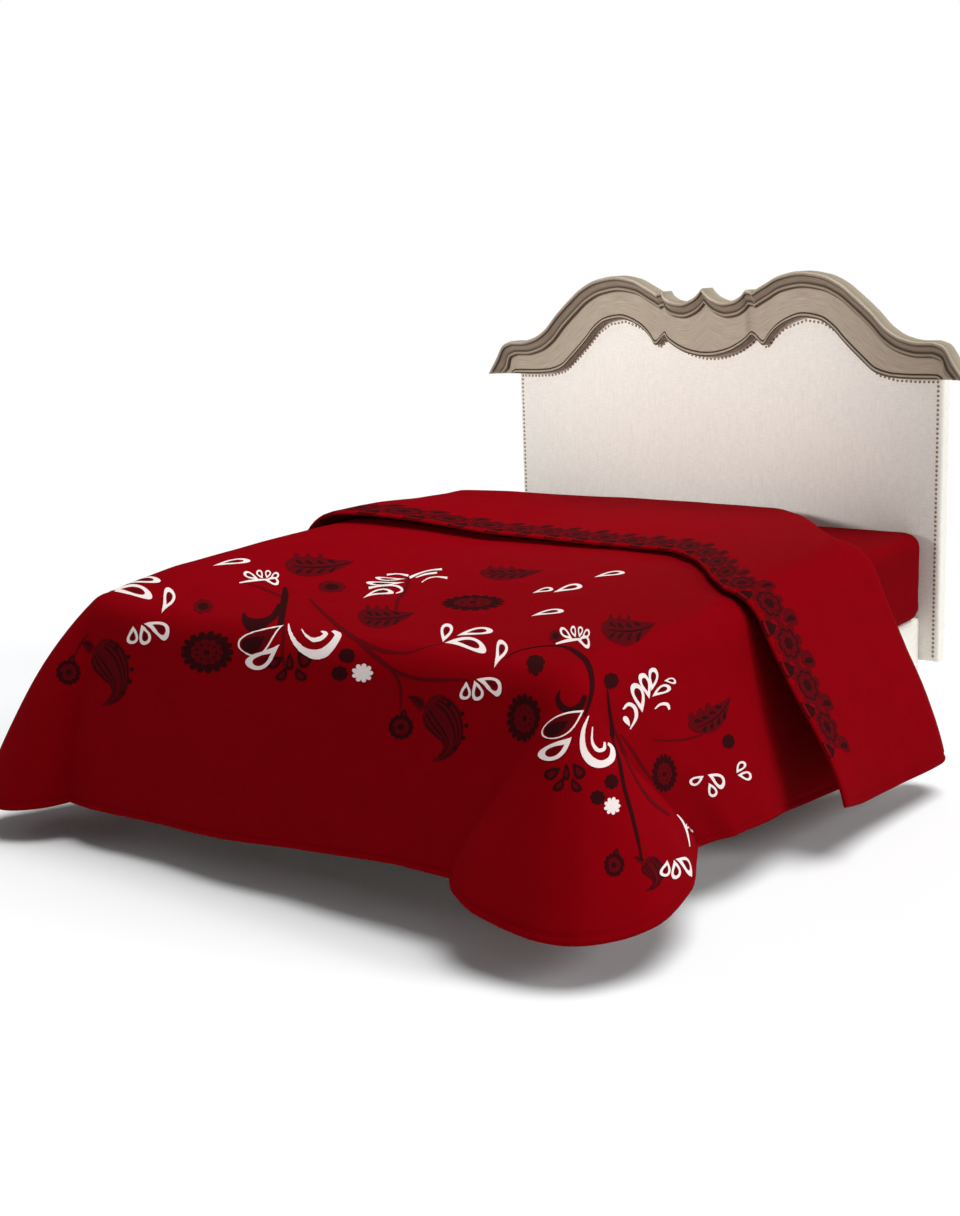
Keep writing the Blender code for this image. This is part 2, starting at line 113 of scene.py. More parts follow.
# Distances from the hem at which the cloth has points, for its thin edge and its sewn line.
HEM_ROWS = (0.030, 0.024, 0.018, 0.012, 0.005)
HEM_BAND = 0.036
HEM_SEAM = 0.018
SEAM_REACH = 0.002
# Shares of the full thickness: at the very edge, beside it, and in the sewn line.
HEM_THIN = 0.35
HEM_FULL = 0.85
SEAM_THIN = 0.55
CLOTH_GROUP = "wadding"
# Its soft unevenness: shares of the broad and the fine ripples, how many times smaller the fine
# ones are, and the level of the noise that each is read at.
RIPPLE_BROAD = 0.75
RIPPLE_FINE = 0.28
RIPPLE_FINER = 2.7
RIPPLE_LEVELS = (3.7, 9.1)

HALF_TOP = MATTRESS_WIDTH / 2 - MATTRESS_EDGE + EDGE_REACH
FOOT_TOP = MATTRESS_LENGTH / 2 - MATTRESS_EDGE + EDGE_REACH
QUILT_TOP = MATTRESS_TOP + GAP + QUILT_THICKNESS / 2
MATTRESS_BOTTOM = MATTRESS_TOP - MATTRESS_THICKNESS
DROP_LENGTH = 0.62
FOOT_DROP_LENGTH = 0.575
# Where the flat cloth is measured on the bed: steps down a drop, and the distance or angle from one
# measured strip to the next.
PATH_STEPS = 32
STATION = 0.02
TURN_STATION = 2.0

# How the quilt falls over one long side. at: place along the bed's edge. slide: how far the hem
# has moved toward the head from there. out: how far the hem stands out from the mattress.
# height: the hem above the floor. crest: how high the cloth puffs up over the edge.
SideFold = namedtuple("SideFold", "at slide out height crest")
RIGHT_FOLDS = table(
    SideFold,
    (-0.982, 0.317, 0.118, 0.146, 0.000),
    (-0.900, 0.285, 0.135, 0.148, 0.002),
    (-0.760, 0.215, 0.165, 0.148, 0.005),
    (-0.560, 0.140, 0.172, 0.140, 0.008),
    (-0.330, 0.060, 0.150, 0.118, 0.010),
    (-0.100, 0.010, 0.138, 0.092, 0.012),
    (0.150, 0.000, 0.155, 0.078, 0.014),
    (0.350, 0.010, 0.175, 0.068, 0.014),
    (0.560, 0.010, 0.180, 0.066, 0.012),
    (0.800, 0.010, 0.180, 0.066, 0.010),
)
LEFT_FOLDS = table(
    SideFold,
    (-0.982, 0.090, 0.240, 0.130, 0.022),
    (-0.880, 0.070, 0.215, 0.135, 0.038),
    (-0.700, 0.030, 0.180, 0.130, 0.060),
    (-0.450, 0.000, 0.200, 0.118, 0.070),
    (-0.200, 0.000, 0.165, 0.124, 0.074),
    (0.080, 0.000, 0.185, 0.110, 0.076),
    (0.350, 0.000, 0.165, 0.104, 0.062),
    (0.560, 0.000, 0.170, 0.098, 0.050),
    (0.800, 0.000, 0.170, 0.098, 0.036),
)
# How it falls over the foot. The columns are those above, with slide toward +X.
FOOT_FOLDS = table(
    SideFold,
    (-0.732, -0.058, 0.135, 0.108, 0.006),
    (-0.640, -0.030, 0.150, 0.110, 0.004),
    (-0.420, -0.015, 0.140, 0.112, 0.004),
    (-0.180, -0.010, 0.152, 0.122, 0.006),
    (0.080, -0.020, 0.142, 0.140, 0.006),
    (0.320, -0.080, 0.148, 0.156, 0.004),
    (0.560, -0.148, 0.146, 0.166, 0.000),
    (0.732, -0.189, 0.150, 0.166, 0.000),
)
# The fan of cloth at a corner. turn: degrees round from the foot to the side. across and beyond:
# where the hem hangs, outward from the mattress's side and from its foot. height: above the floor.
# fall: how steeply the cloth leaves the bed's edge, in degrees below level.
CornerFold = namedtuple("CornerFold", "turn across beyond height fall")
RIGHT_CORNER = table(
    CornerFold,
    (0, -0.222, 0.150, 0.166, 74),
    (8, -0.180, 0.196, 0.156, 72),
    (20, -0.085, 0.230, 0.134, 68),
    (34, 0.028, 0.234, 0.116, 66),
    (47, 0.132, 0.200, 0.105, 66),
    (58, 0.200, 0.122, 0.105, 66),
    (68, 0.238, 0.000, 0.114, 68),
    (78, 0.218, -0.145, 0.127, 70),
    (86, 0.160, -0.270, 0.140, 73),
    (90, 0.118, -0.350, 0.146, 74),
)
LEFT_CORNER = table(
    CornerFold,
    (0, 0.025, 0.135, 0.108, 74),
    (14, 0.080, 0.200, 0.098, 64),
    (30, 0.185, 0.245, 0.090, 50),
    (46, 0.290, 0.228, 0.090, 42),
    (62, 0.345, 0.130, 0.100, 44),
    (78, 0.300, 0.010, 0.118, 58),
    (90, 0.240, -0.123, 0.130, 74),
)
# The line along which the head end is folded back. out: distance from the bed's middle.
# right and left: how far toward the head the fold lies on either half.
FoldLine = namedtuple("FoldLine", "out right left")
FOLD_LINE = table(
    FoldLine,
    (0.00, 0.915, 0.915),
    (0.28, 0.900, 0.910),
    (0.40, 0.825, 0.870),
    (0.52, 0.690, 0.780),
    (0.64, 0.530, 0.670),
    (0.76, 0.410, 0.590),
    (0.90, 0.370, 0.560),
)

# The carved rail on top of the headboard. top_x and top: its upper edge. under_x and under: the
# matching point of its lower edge. ARCH_END turns the moulding down the rail's slanted end.
RailSection = namedtuple("RailSection", "top_x top under_x under")
NumberedSection = namedtuple("NumberedSection", "number top_x top under_x under")
ARCH = table(
    RailSection,
    (0.1763, 1.374, 0.1763, 1.224),
    (0.200, 1.388, 0.203, 1.202),
    (0.225, 1.401, 0.226, 1.230),
    (0.275, 1.425, 0.264, 1.264),
    (0.345, 1.437, 0.340, 1.291),
    (0.420, 1.426, 0.400, 1.282),
    (0.480, 1.400, 0.445, 1.254),
    (0.530, 1.362, 0.485, 1.212),
    (0.590, 1.309, 0.540, 1.160),
    (0.640, 1.258, 0.592, 1.118),
    (0.690, 1.229, 0.650, 1.103),
    (0.745, 1.217, 0.715, 1.100),
    (0.790, 1.217, 0.762, 1.100),
)
ARCH_END = table(
    RailSection,
    (0.822, 1.205, 0.785, 1.100),
    (0.858, 1.152, 0.790, 1.100),
    (0.893, 1.100, 0.795, 1.100),
)
BLOCK = table(
    RailSection,
    (0.000, 1.390, 0.000, 1.165),
    (0.016, 1.372, 0.022, 1.166),
    (0.040, 1.356, 0.048, 1.170),
    (0.078, 1.345, 0.085, 1.180),
    (0.115, 1.350, 0.120, 1.197),
    (0.145, 1.366, 0.148, 1.216),
    (0.158, 1.382, 0.164, 1.232),
    (0.176, 1.378, 0.176, 1.224),
)
# The rail's moulding. down: below the upper edge, or up from the lower one where it is negative.
# depth: in front of the back. The third column: dark glazing and painted shade in it.
Moulding = namedtuple("Moulding", "down depth glaze")
# Painted shade: the dark glazing is heaviest in the grooves and under the rail, least on the beads.
RAIL_MOULDING = table(
    Moulding,
    (0.0000, 0.0600, 0.40),
    (0.0015, 0.0645, 0.08),
    (0.0050, 0.0680, 0.08),
    (0.0100, 0.0672, 0.24),
    (0.0130, 0.0640, 0.75),
    (0.0145, 0.0580, 0.92),
    (0.0165, 0.0575, 0.78),
    (0.0200, 0.0585, 0.45),
    (0.0240, 0.0540, 0.22),
    (0.0300, 0.0480, 0.42),
    (0.0350, 0.0450, 0.78),
    (0.0370, 0.0440, 0.92),
    (0.0385, 0.0475, 0.66),
    (0.0420, 0.0500, 0.16),
    (0.0460, 0.0490, 0.24),
    (0.0490, 0.0440, 0.75),
    (0.0505, 0.0365, 0.92),
    (0.0530, 0.0345, 0.60),
    (0.0560, 0.0340, 0.04),
    (-0.0190, 0.0340, 0.00),
    (-0.0165, 0.0335, 0.70),
    (-0.0150, 0.0305, 1.00),
    (-0.0135, 0.0335, 0.85),
    (-0.0110, 0.0365, 0.00),
    (-0.0065, 0.0365, 0.12),
    (-0.0045, 0.0320, 1.00),
    (-0.0025, 0.0335, 0.70),
    (0.0, 0.0320, 0.70),
)
RAIL_STEPS = 6
RAIL_END_STEPS = 4
RAIL_SMOOTHING = radians(40)
# Dark glazing on the rail's back, above and below, more below as painted shade, and the share of
# it that the wood keeps at a rail's end faces, which are cut after glazing.
BACK_GLAZE_AND_SHADE_TOP = 0.1
BACK_GLAZE_AND_SHADE_UNDER = 0.3
END_GLAZE_AND_SHADE = 0.2

# The linen cover of the panel: its rounded edge, its net of points and its padded crown.
PANEL_ROUND = 0.012
PANEL_ROUND_STEPS = 4
PANEL_TOP_STEPS = 4
PANEL_GRID = 0.022
PANEL_SMOOTHING = radians(30)
CROWN_REACH = 0.12
CROWN_FULLNESS = 0.6
# The least share of an inset that a corner of an outline moves by.
CORNER_LEAST = 0.3

# The nails: how far in from the panel's edge and below the rail, further in at its rounded sides,
# above its foot, where the row turns down, and how deep each nail sits in the linen.
NAIL_INSET = 0.011
NAIL_FROM_ROUND = 0.4 * PANEL_ROUND
NAIL_START = 0.02
NAIL_TURN = 0.01
NAIL_SEAT = 0.0004
NAIL_FLATNESS = 0.62
NAIL_SMOOTHING = radians(50)

# The fitted sheet: its net of points, how far it reaches under the mattress, and the open middle
# that one face closes on top.
SHEET_RINGS = 30
SHEET_SIDE_POINTS = 26
SHEET_CORNER_POINTS = 9
SHEET_CORNER_LEAST = 0.004
SHEET_WALL_ROWS = 14
SHEET_BEND_ROWS = 6
SHEET_TUCK = 0.09
SHEET_UNDER = 0.36
SHEET_MIDDLE = 0.02
# Its creases near the corners: depth, pitch, reach from the corner, reach up the wall and slant.
PUCKER = 0.004
PUCKER_LENGTH = 0.028
PUCKER_REACH = 0.26
PUCKER_RISE = 0.85
PUCKER_SLANT = 0.25
# How loosely it lies elsewhere, and how tightly that varies across, along and up.
SHEET_LOOSE = 0.0022
LOOSE_SCALES = (5.0, 5.0, 9.0)

WELD = 1e-5
SAME_SPOT = 1e-7

# The print's drawings

# Motifs are drawn in steps of 3 mm, about a pixel of the photo at the bed's foot. Their points
# were read off it.
DRAWN_STEP = 0.003
# A drop runs from its pointed tip to its round head, and lean bows it to its left.
Drop = namedtuple("Drop", "tip_x tip_y head_x head_y width lean")
# White drops, each with a hole and a burgundy core in it.
HOLLOW_DROPS = {
    "pair_of_drops": (Drop(-9, 8, 31, 11, 7.5, 0.06), Drop(-22, 0, 22, -6, 12.5, 0.10)),
    "single_drop": (Drop(-5, -10, 2, 12, 12, -0.14),),
    "three_drops": (Drop(-16, 8, -20, -10, 11, 0.10), Drop(-8, 9, -5, -11, 12, 0.10),
                    Drop(-6, 10, 18, -5, 14, 0.16)),
    "sliver": (Drop(-17, -3, 17, 3, 6, 0.05),),
    "small_cluster": (Drop(-3, -3, -18, 4, 6, 0.0), Drop(1, -2, -4, 6, 6, 0.0),
                      Drop(5, -2, 7, 6, 6, 0.0), Drop(8, -3, 17, 3, 6, 0.0),
                      Drop(3, -4, 17, -7, 8, 0.10)),
    "feather": (Drop(-22, -15, 8, -8, 7, 0.14), Drop(19, 4, -20, 5, 5, 0.04),
                Drop(20, 9, -11, 11, 4.5, 0.04)),
    "fan": (Drop(-19, -3, -14, 18, 12.5, 0.0), Drop(-5, 4, 32, 9, 8.5, 0.06),
            Drop(-17, -4, 24, -12, 12.5, 0.12)),
    "white_drop": (Drop(15, 13, -17, -7, 17, 0.12),),
    "spray": (Drop(4, 6, 5, 28, 10, -0.05), Drop(2, -2, -7, 22, 10, -0.05),
              Drop(-5, -16, -14, 13, 12, -0.06), Drop(5, 0, 24, 10, 9, 0.08),
              Drop(17, 16, 30, 15, 6, 0.10)),
    "side_drops": (Drop(-5, 8, -17, 0, 9, 0.0), Drop(-1, 9, 16, -3, 12, 0.12),
                   Drop(0, 1, 6, -13, 9, 0.05)),
    "side_pair": (Drop(-7, -2, 1, 9, 8, 0.05), Drop(-6, -4, 8, -6, 9, 0.05)),
    "fold_drop": (Drop(0, -2, 6, 6, 8, -0.1),),
}
WHITE_DROPS = {
    "spray": (Drop(-17, -30, -22, -19, 5, 0.0),),
}
# Charcoal drops filled with burgundy.
CHARCOAL_DROPS = {
    "dark_drops": (Drop(-4, 11, -20, 4, 12, 0.1), Drop(8, 15, 17, 1, 12, 0.1),
                   Drop(-1, 1, -9, -12, 9, 0.1), Drop(8, 1, 16, -12, 9, -0.1),
                   Drop(2, 15, 2, -2, 7, 0.0)),
    "bud": (Drop(4, 18, 2, 9, 7, 0.0), Drop(-12, -2, -6, -1, 5, 0.0)),
}
# A stroke runs through its points, each with the stroke's width there.
Bend = namedtuple("Bend", "x y width")
WHITE_STROKES = {
    "feather": (
        (Bend(-17, -2, 3), Bend(-7, 0, 1.8), Bend(6, 0.5, 1.8), Bend(14, -2, 2.5),
         Bend(16, -6, 2.2), Bend(10, -9, 1)),
        (Bend(1, 15, 2.5), Bend(12, 16, 1.5), Bend(23, 13, 3)),
    ),
    "sprig": (
        (Bend(-18, -5, 3), Bend(-9, 0, 2), Bend(2, 4, 1.5), Bend(14, 5, 2.8)),
        (Bend(-12, -5, 1), Bend(-2, -1, 2), Bend(9, 0.5, 2)),
        (Bend(-6, -11, 0.8), Bend(1, -6, 1.2), Bend(9, -4.5, 1.2), Bend(19, -6, 2.8)),
    ),
    "wide_crescent": (
        (Bend(-27, 16, 1), Bend(-24, 4, 3), Bend(-17, -7, 5), Bend(-6, -13, 6), Bend(8, -13, 6.5),
         Bend(19, -7, 6.5), Bend(24, 2, 6.5), Bend(18, 8, 4)),
        (Bend(-13, 8, 1), Bend(-8, 1, 2), Bend(-1, -3, 3.5), Bend(7, -2, 4), Bend(12, 3, 4),
         Bend(7, 6, 2)),
    ),
    "tall_crescent": (
        (Bend(-10, 26, 1), Bend(-14, 12, 3.5), Bend(-13, -4, 5), Bend(-6, -17, 6.5),
         Bend(3, -22, 7), Bend(12, -17, 6.5), Bend(14, -6, 5), Bend(9, -1, 2.5)),
        (Bend(-6, 15, 1), Bend(-6, 1, 2), Bend(-1, -8, 3.5), Bend(5, -7, 3.5), Bend(6, 0, 2)),
    ),
    "spray": (
        (Bend(-17, -33, 1), Bend(-11, -21, 3), Bend(-12, -11, 3.5), Bend(-18, -7, 3.5),
         Bend(-23, -12, 1.5)),
        (Bend(7, -13, 1), Bend(13, -8, 2.5), Bend(20, -8, 3.5), Bend(22, -14, 2)),
    ),
    "small_cluster": ((Bend(-22, -6, 1), Bend(-8, -4, 2), Bend(8, -3, 1)),),
    "fold_drop": ((Bend(-14, 14, 1), Bend(-5, 6, 2.5), Bend(2, -5, 3), Bend(7, -19, 1)),),
}
PAISLEY = (Bend(-10, 24, 12), Bend(-5, 20, 30), Bend(3, 11, 38), Bend(10, -1, 32),
           Bend(14, -13, 21), Bend(12, -24, 12), Bend(4, -32, 6), Bend(-4, -35, 1))
# The share of the comma's width at which each dark band starts and ends.
PAISLEY_BANDS = ((0.93, 0.85), (0.66, 0.57), (0.38, 0.28))
CHARCOAL_STROKES = {
    "dark_curl": ((Bend(18, 14, 4), Bend(16, 5, 6), Bend(11, -5, 7), Bend(2, -10, 8),
                   Bend(-9, -10, 8), Bend(-16, -6, 6), Bend(-18, 1, 2)),),
    "tall_curl": ((Bend(15, 7, 4), Bend(10, -6, 7), Bend(0, -11, 7), Bend(-9, -6, 6),
                   Bend(-12, 3, 4), Bend(-9, 10, 1.5)),),
}
# A leaf's middle vein, as shares of the way to its head and widths, and the places of its small
# veins and of the lobes on its edge.
LEAF_VEIN = ((0.06, 0.6), (0.35, 1.3), (0.65, 1.3), (0.90, 0.6))
LEAF_SMALL_VEINS = (0.34, 0.50, 0.66, 0.80)
LEAF_LOBES = (0.45, 0.62, 0.79)
# Where the hole in a hollow drop and its core start and end along it, and their share of its width.
HOLE = (0.27, 0.83, 0.56)
CORE = (0.40, 0.74, 0.32)
DROP_POINTS = 34
DROP_BLUNT = 1.2
DROP_WIDEST = 0.74
# Stems on the flat cloth, each with its ink: across and along in metres from the bed's middle, and
# the stem's width there. Stems and the places below were read off the photo by eye and carried to
# the cloth by a script apart from this one.
Stem = namedtuple("Stem", "across along width")
STEMS = (
    ("burgundy", (
        Stem(-0.263, -0.713, 0.006), Stem(-0.088, -0.848, 0.012), Stem(0.105, -0.980, 0.014),
        Stem(0.198, -1.018, 0.012), Stem(0.282, -1.030, 0.010), Stem(0.347, -1.014, 0.008),
        Stem(0.375, -0.950, 0.005))),
    ("burgundy", (
        Stem(0.150, -1.002, 0.008), Stem(0.208, -1.030, 0.010), Stem(0.285, -1.060, 0.010),
        Stem(0.345, -1.076, 0.009), Stem(0.410, -1.078, 0.008), Stem(0.492, -1.067, 0.006),
        Stem(0.532, -1.062, 0.003))),
    ("burgundy", (
        Stem(0.302, -1.066, 0.008), Stem(0.333, -1.090, 0.008), Stem(0.347, -1.120, 0.007),
        Stem(0.355, -1.158, 0.005))),
    ("charcoal", (
        Stem(-0.410, -0.655, 0.010), Stem(-0.350, -0.718, 0.019), Stem(-0.268, -0.810, 0.019),
        Stem(-0.177, -0.910, 0.017), Stem(-0.103, -0.995, 0.014), Stem(-0.083, -1.025, 0.007))),
    ("burgundy", (
        Stem(-0.135, -0.950, 0.006), Stem(-0.065, -1.022, 0.010), Stem(-0.042, -1.060, 0.009),
        Stem(-0.020, -1.115, 0.005))),
    ("charcoal", (
        Stem(0.585, -0.985, 0.003), Stem(0.575, -0.930, 0.006), Stem(0.600, -0.868, 0.009),
        Stem(0.655, -0.852, 0.013), Stem(0.730, -0.900, 0.016), Stem(0.795, -0.958, 0.014),
        Stem(0.832, -1.000, 0.011), Stem(0.852, -1.045, 0.006))),
    ("charcoal", (
        Stem(0.830, -0.928, 0.005), Stem(0.865, -0.940, 0.010), Stem(0.917, -0.963, 0.013),
        Stem(0.970, -1.015, 0.014), Stem(1.020, -1.070, 0.013), Stem(1.077, -1.110, 0.011),
        Stem(1.130, -1.147, 0.008), Stem(1.160, -1.167, 0.004))),
    ("burgundy", (
        Stem(0.905, -0.952, 0.007), Stem(0.980, -0.970, 0.014), Stem(1.048, -1.016, 0.017),
        Stem(1.115, -1.031, 0.015), Stem(1.200, -1.012, 0.006))),
    ("burgundy", (
        Stem(0.937, -0.943, 0.006), Stem(0.992, -0.940, 0.013), Stem(1.065, -0.950, 0.012),
        Stem(1.145, -0.958, 0.006))),
    ("burgundy", (
        Stem(0.986, -0.850, 0.003), Stem(1.006, -0.798, 0.006), Stem(1.022, -0.735, 0.007),
        Stem(1.030, -0.660, 0.004))),
    ("burgundy", (
        Stem(-0.745, -1.120, 0.005), Stem(-0.775, -1.150, 0.010), Stem(-0.795, -1.190, 0.006))),
    ("burgundy", (
        Stem(-0.508, -0.722, 0.004), Stem(-0.460, -0.712, 0.010), Stem(-0.403, -0.716, 0.014),
        Stem(-0.335, -0.735, 0.010))),
    ("burgundy", (
        Stem(-0.223, -0.338, 0.006), Stem(-0.115, -0.488, 0.010), Stem(-0.050, -0.600, 0.010),
        Stem(0.047, -0.725, 0.006))),
)
# Where each motif lies on the flat cloth, in metres from the bed's middle, and where its own right
# and up point there, per step drawn.
Place = namedtuple("Place", "motif across along right_x right_y up_x up_y")
PLACES = table(
    Place,
    ("pair_of_drops", -0.695, -0.960, 0.90, 0.39, -2.01, 1.82),
    ("single_drop", -0.550, -0.960, 0.76, 0.49, -2.00, 1.88),
    ("three_drops", -0.510, -1.083, 1.21, 0.22, -0.23, 0.81),
    ("dot", -0.435, -0.940, 0.74, 0.61, -1.80, 1.74),
    ("dark_daisy", -0.295, -1.098, 2.96, 0.30, -0.32, 1.65),
    ("paisley", -0.655, -1.205, 1.16, 0.21, -0.18, 0.87),
    ("bud", -0.805, -1.225, 1.29, -0.05, -0.16, 0.93),
    ("sliver", -0.635, -0.633, 0.66, 0.79, -1.91, 1.94),
    ("small_cluster", -0.508, -0.645, 0.50, 0.80, -1.85, 1.94),
    ("dark_curl", -0.235, -0.925, 0.75, 0.45, -2.22, 2.30),
    ("outlined_drop", -0.130, -1.045, 1.06, 0.13, -0.57, 0.86),
    ("white_drop", -0.098, -1.090, 1.11, 0.13, -0.17, 0.79),
    ("wide_crescent", 0.032, -1.018, 0.96, 0.16, -0.93, 1.10),
    ("dark_drops", -0.013, -1.105, 1.20, 0.14, -0.14, 0.80),
    ("dark_dot", 0.165, -1.055, 0.79, 0.10, -0.28, 0.54),
    ("dark_dot", 0.155, -1.098, 0.82, 0.10, -0.10, 0.54),
    ("white_daisy", 0.225, -1.088, 1.10, 0.14, -0.15, 0.71),
    ("dot", -0.323, -0.558, 1.15, 0.80, -1.71, 1.90),
    ("dark_leaf", -0.495, -0.425, 0.54, 0.97, -2.21, 2.47),
    ("feather", -0.193, -0.480, 0.80, 0.48, -2.25, 2.70),
    ("sprig", -0.195, -0.290, 0.83, 0.49, -2.38, 3.01),
    ("dark_leaf", 0.055, -0.778, 0.65, 0.41, -3.08, 3.68),
    ("dark_daisy", 0.155, -0.540, 2.30, 1.29, -1.92, 2.56),
    ("fan", 0.390, -0.895, 0.67, 0.41, -1.94, 2.54),
    ("single_drop", 0.540, -0.948, 0.69, 0.35, -1.78, 2.44),
    ("three_drops", 0.573, -1.078, 0.90, 0.11, -0.18, 0.70),
    ("bud", 0.370, -1.195, 0.97, 0.15, -0.27, 0.76),
    ("paisley", 0.475, -1.178, 0.93, 0.15, -0.29, 0.76),
    ("sliver", 0.238, -0.338, 0.47, 0.26, -1.81, 2.64),
    ("sliver", 0.285, -0.288, 0.67, 0.36, -2.48, 3.73),
    ("sliver", 0.282, -0.075, 0.74, 0.39, -2.05, 3.25),
    ("sliver", 0.415, -0.573, 0.73, 0.34, -1.80, 2.64),
    ("small_cluster", 0.613, -0.748, 0.62, 0.27, -2.65, 4.00),
    ("dark_leaf", 0.002, -0.163, 0.83, 0.47, -2.05, 2.86),
    ("dark_leaf", 0.680, -0.625, 0.62, 0.28, -2.69, 4.35),
    ("dark_dot", 0.665, -0.983, 0.63, 0.25, -1.13, 1.58),
    ("dot", 0.577, -0.775, 0.51, 0.22, -1.26, 1.85),
    ("tall_curl", 0.802, -1.048, 0.64, 0.59, -0.45, 0.56),
    ("dark_daisy", 0.700, -1.125, 1.45, 0.21, -0.50, 1.66),
    ("outlined_drop", 0.815, -1.100, 0.79, 0.53, -0.46, 0.57),
    ("white_drop", 0.838, -1.153, 0.89, 0.56, -0.52, 0.53),
    ("tall_crescent", 0.915, -1.053, 0.60, 1.03, -0.50, 0.64),
    ("dark_drops", 0.905, -1.183, 0.74, 0.62, -0.51, 0.50),
    ("dark_dot", 0.995, -1.093, 0.39, 0.52, -0.33, 0.44),
    ("dark_dot", 0.997, -1.147, 0.38, 0.47, -0.36, 0.35),
    ("white_daisy", 1.032, -1.133, 0.42, 0.50, -0.44, 0.48),
    ("dark_dot", 0.818, -0.903, 0.20, 0.79, -0.50, 0.43),
    ("spray", 0.883, -0.795, 0.34, 1.22, -0.70, 0.48),
    ("side_paisley", 1.003, -0.598, 0.37, 1.38, -0.78, 0.73),
    ("dark_dot", 1.075, -0.568, 0.22, 0.91, -0.57, 0.58),
    ("side_drops", 1.167, -0.770, 0.30, 1.36, -0.99, 1.01),
    ("side_pair", 1.165, -0.573, 0.33, 1.74, -0.85, 0.93),
    ("dark_daisy", 1.095, -0.898, 0.46, 1.30, -1.90, 1.73),
    ("bud", 1.125, -1.215, 0.40, 0.45, -0.49, 0.44),
    ("paisley", 1.190, -1.170, 0.34, 0.34, -0.22, 0.29),
    ("three_drops", 1.255, -1.105, 0.76, 0.53, -0.33, 0.55),
    ("fold_drop", 1.290, -0.995, 1.43, 0.69, 0.40, 0.81),
)
# Motifs of the right side that the left side repeats, mirrored.
MIRRORED_FROM = 0.86
LEFT_REPEATS = ("spray", "side_paisley", "side_drops", "side_pair")
# The band of flowers and leaves along the hem of the turned-back end, drawn deeper than wide.
BORDER_PITCH = 0.052
BORDER_DEPTH = 1.30
BORDER_START = -1.24
BORDER_END = 1.24
# Its motifs come in turn, up from the hem by the same distance.
BORDER_MOTIFS = ("border_flower", "border_leaves")
BORDER_UP = 0.078
BORDER_SIZE = 0.95

# How far each ink stands above the cloth, so that the paler ones lie over the darker.
INK_LIFTS = {"burgundy": 0.0005, "charcoal": 0.0008, "white": 0.0011}
INK_SMOOTHING = radians(50)
# The printed shapes' points: how far apart inside, at most along an outline, and at least.
FILL_STEP = 0.010
RING_STEP = 0.006
RING_LEAST = 0.0028

# The studio

# Broad studio lights. source: where each stands, and it shines toward the bed's middle.
# softness: how wide it looks from there, in degrees.
SoftLight = namedtuple("SoftLight", "name source strength softness")
SOFT_LIGHTS = table(
    SoftLight,
    ("overhead", (0.8, 0.5, 3.6), 2.90, 40.0),
    ("right", (4.0, 1.4, 2.0), 1.25, 20.0),
    ("left", (-3.8, -1.6, 2.0), 0.25, 40.0),
)
# A soft spot from beyond the foot, on the headboard alone.
SPOT_PLACE = (-0.9, -3.5, 1.95)
SPOT_AIM = (-0.20, 1.05, 1.25)
SPOT_POWER = 600.0
SPOT_SPREAD = radians(32)
SPOT_RADIUS = 0.30
# The white room: how much it lights the bed, and how white it looks.
ROOM_COLOUR = (1.0, 1.0, 1.0, 1.0)
ROOM_LIGHT = 0.14
ROOM_WHITE = 1.0
SENSOR_HEIGHT = 36.0

# Settings

def linear(code):
    """The linear colour of an sRGB hex value."""
    shares = [int(code[index:index + 2], 16) / 255 for index in (1, 3, 5)]
    return [share / 12.92 if share <= 0.04045 else ((share + 0.055) / 1.055) ** 2.4
            for share in shares]


class QuiltSettings(bpy.types.PropertyGroup):
    """What a user can change on the quilt"""

    ripple_height: bpy.props.FloatProperty(
        name="Ripple height", description="How far the soft ripples of the cloth stand up",
        default=0.005, min=0.0, max=0.010, unit="LENGTH")
    ripple_length: bpy.props.FloatProperty(
        name="Ripple length", description="Size of one soft ripple of the cloth",
        default=0.30, min=0.05, unit="LENGTH")
    cloth_colour: bpy.props.FloatVectorProperty(
        name="Cloth", description="Red ground of the quilt", subtype="COLOR", size=3,
        default=linear("#80000a"), min=0.0, max=1.0)
    burgundy: bpy.props.FloatVectorProperty(
        name="Burgundy ink", description="Dark red of the printed leaves", subtype="COLOR", size=3,
        default=linear("#56070e"), min=0.0, max=1.0)
    charcoal: bpy.props.FloatVectorProperty(
        name="Charcoal ink", description="Near black of the printed stems", subtype="COLOR",
        size=3, default=linear("#2f0a0d"), min=0.0, max=1.0)
    white: bpy.props.FloatVectorProperty(
        name="White ink", description="White of the printed drops and petals", subtype="COLOR",
        size=3, default=linear("#e9dcd9"), min=0.0, max=1.0)
    ink_thickness: bpy.props.FloatProperty(
        name="Ink thickness", description="Thickness of the printed shapes on the cloth",
        default=0.0003, min=0.0001, max=0.001, unit="LENGTH")


class BedSettings(bpy.types.PropertyGroup):
    """What a user can change on the bed"""

    sheet_colour: bpy.props.FloatVectorProperty(
        name="Fitted sheet", description="Red of the sheet on the mattress", subtype="COLOR",
        size=3, default=linear("#780009"), min=0.0, max=1.0)
    linen_colour: bpy.props.FloatVectorProperty(
        name="Linen", description="Ivory of the covered panel and base", subtype="COLOR", size=3,
        default=linear("#f7f3ea"), min=0.0, max=1.0)
    crown: bpy.props.FloatProperty(
        name="Crown", description="How far the padded panel swells below its rail",
        default=0.008, min=0.0, max=0.015, unit="LENGTH")
    nail_radius: bpy.props.FloatProperty(
        name="Nail radius", description="Radius of the round nail heads", default=0.0045,
        min=0.002, max=0.010, unit="LENGTH")
    nail_spacing: bpy.props.FloatProperty(
        name="Nail spacing", description="Distance from nail to nail", default=0.0145,
        min=0.010, max=0.050, unit="LENGTH")


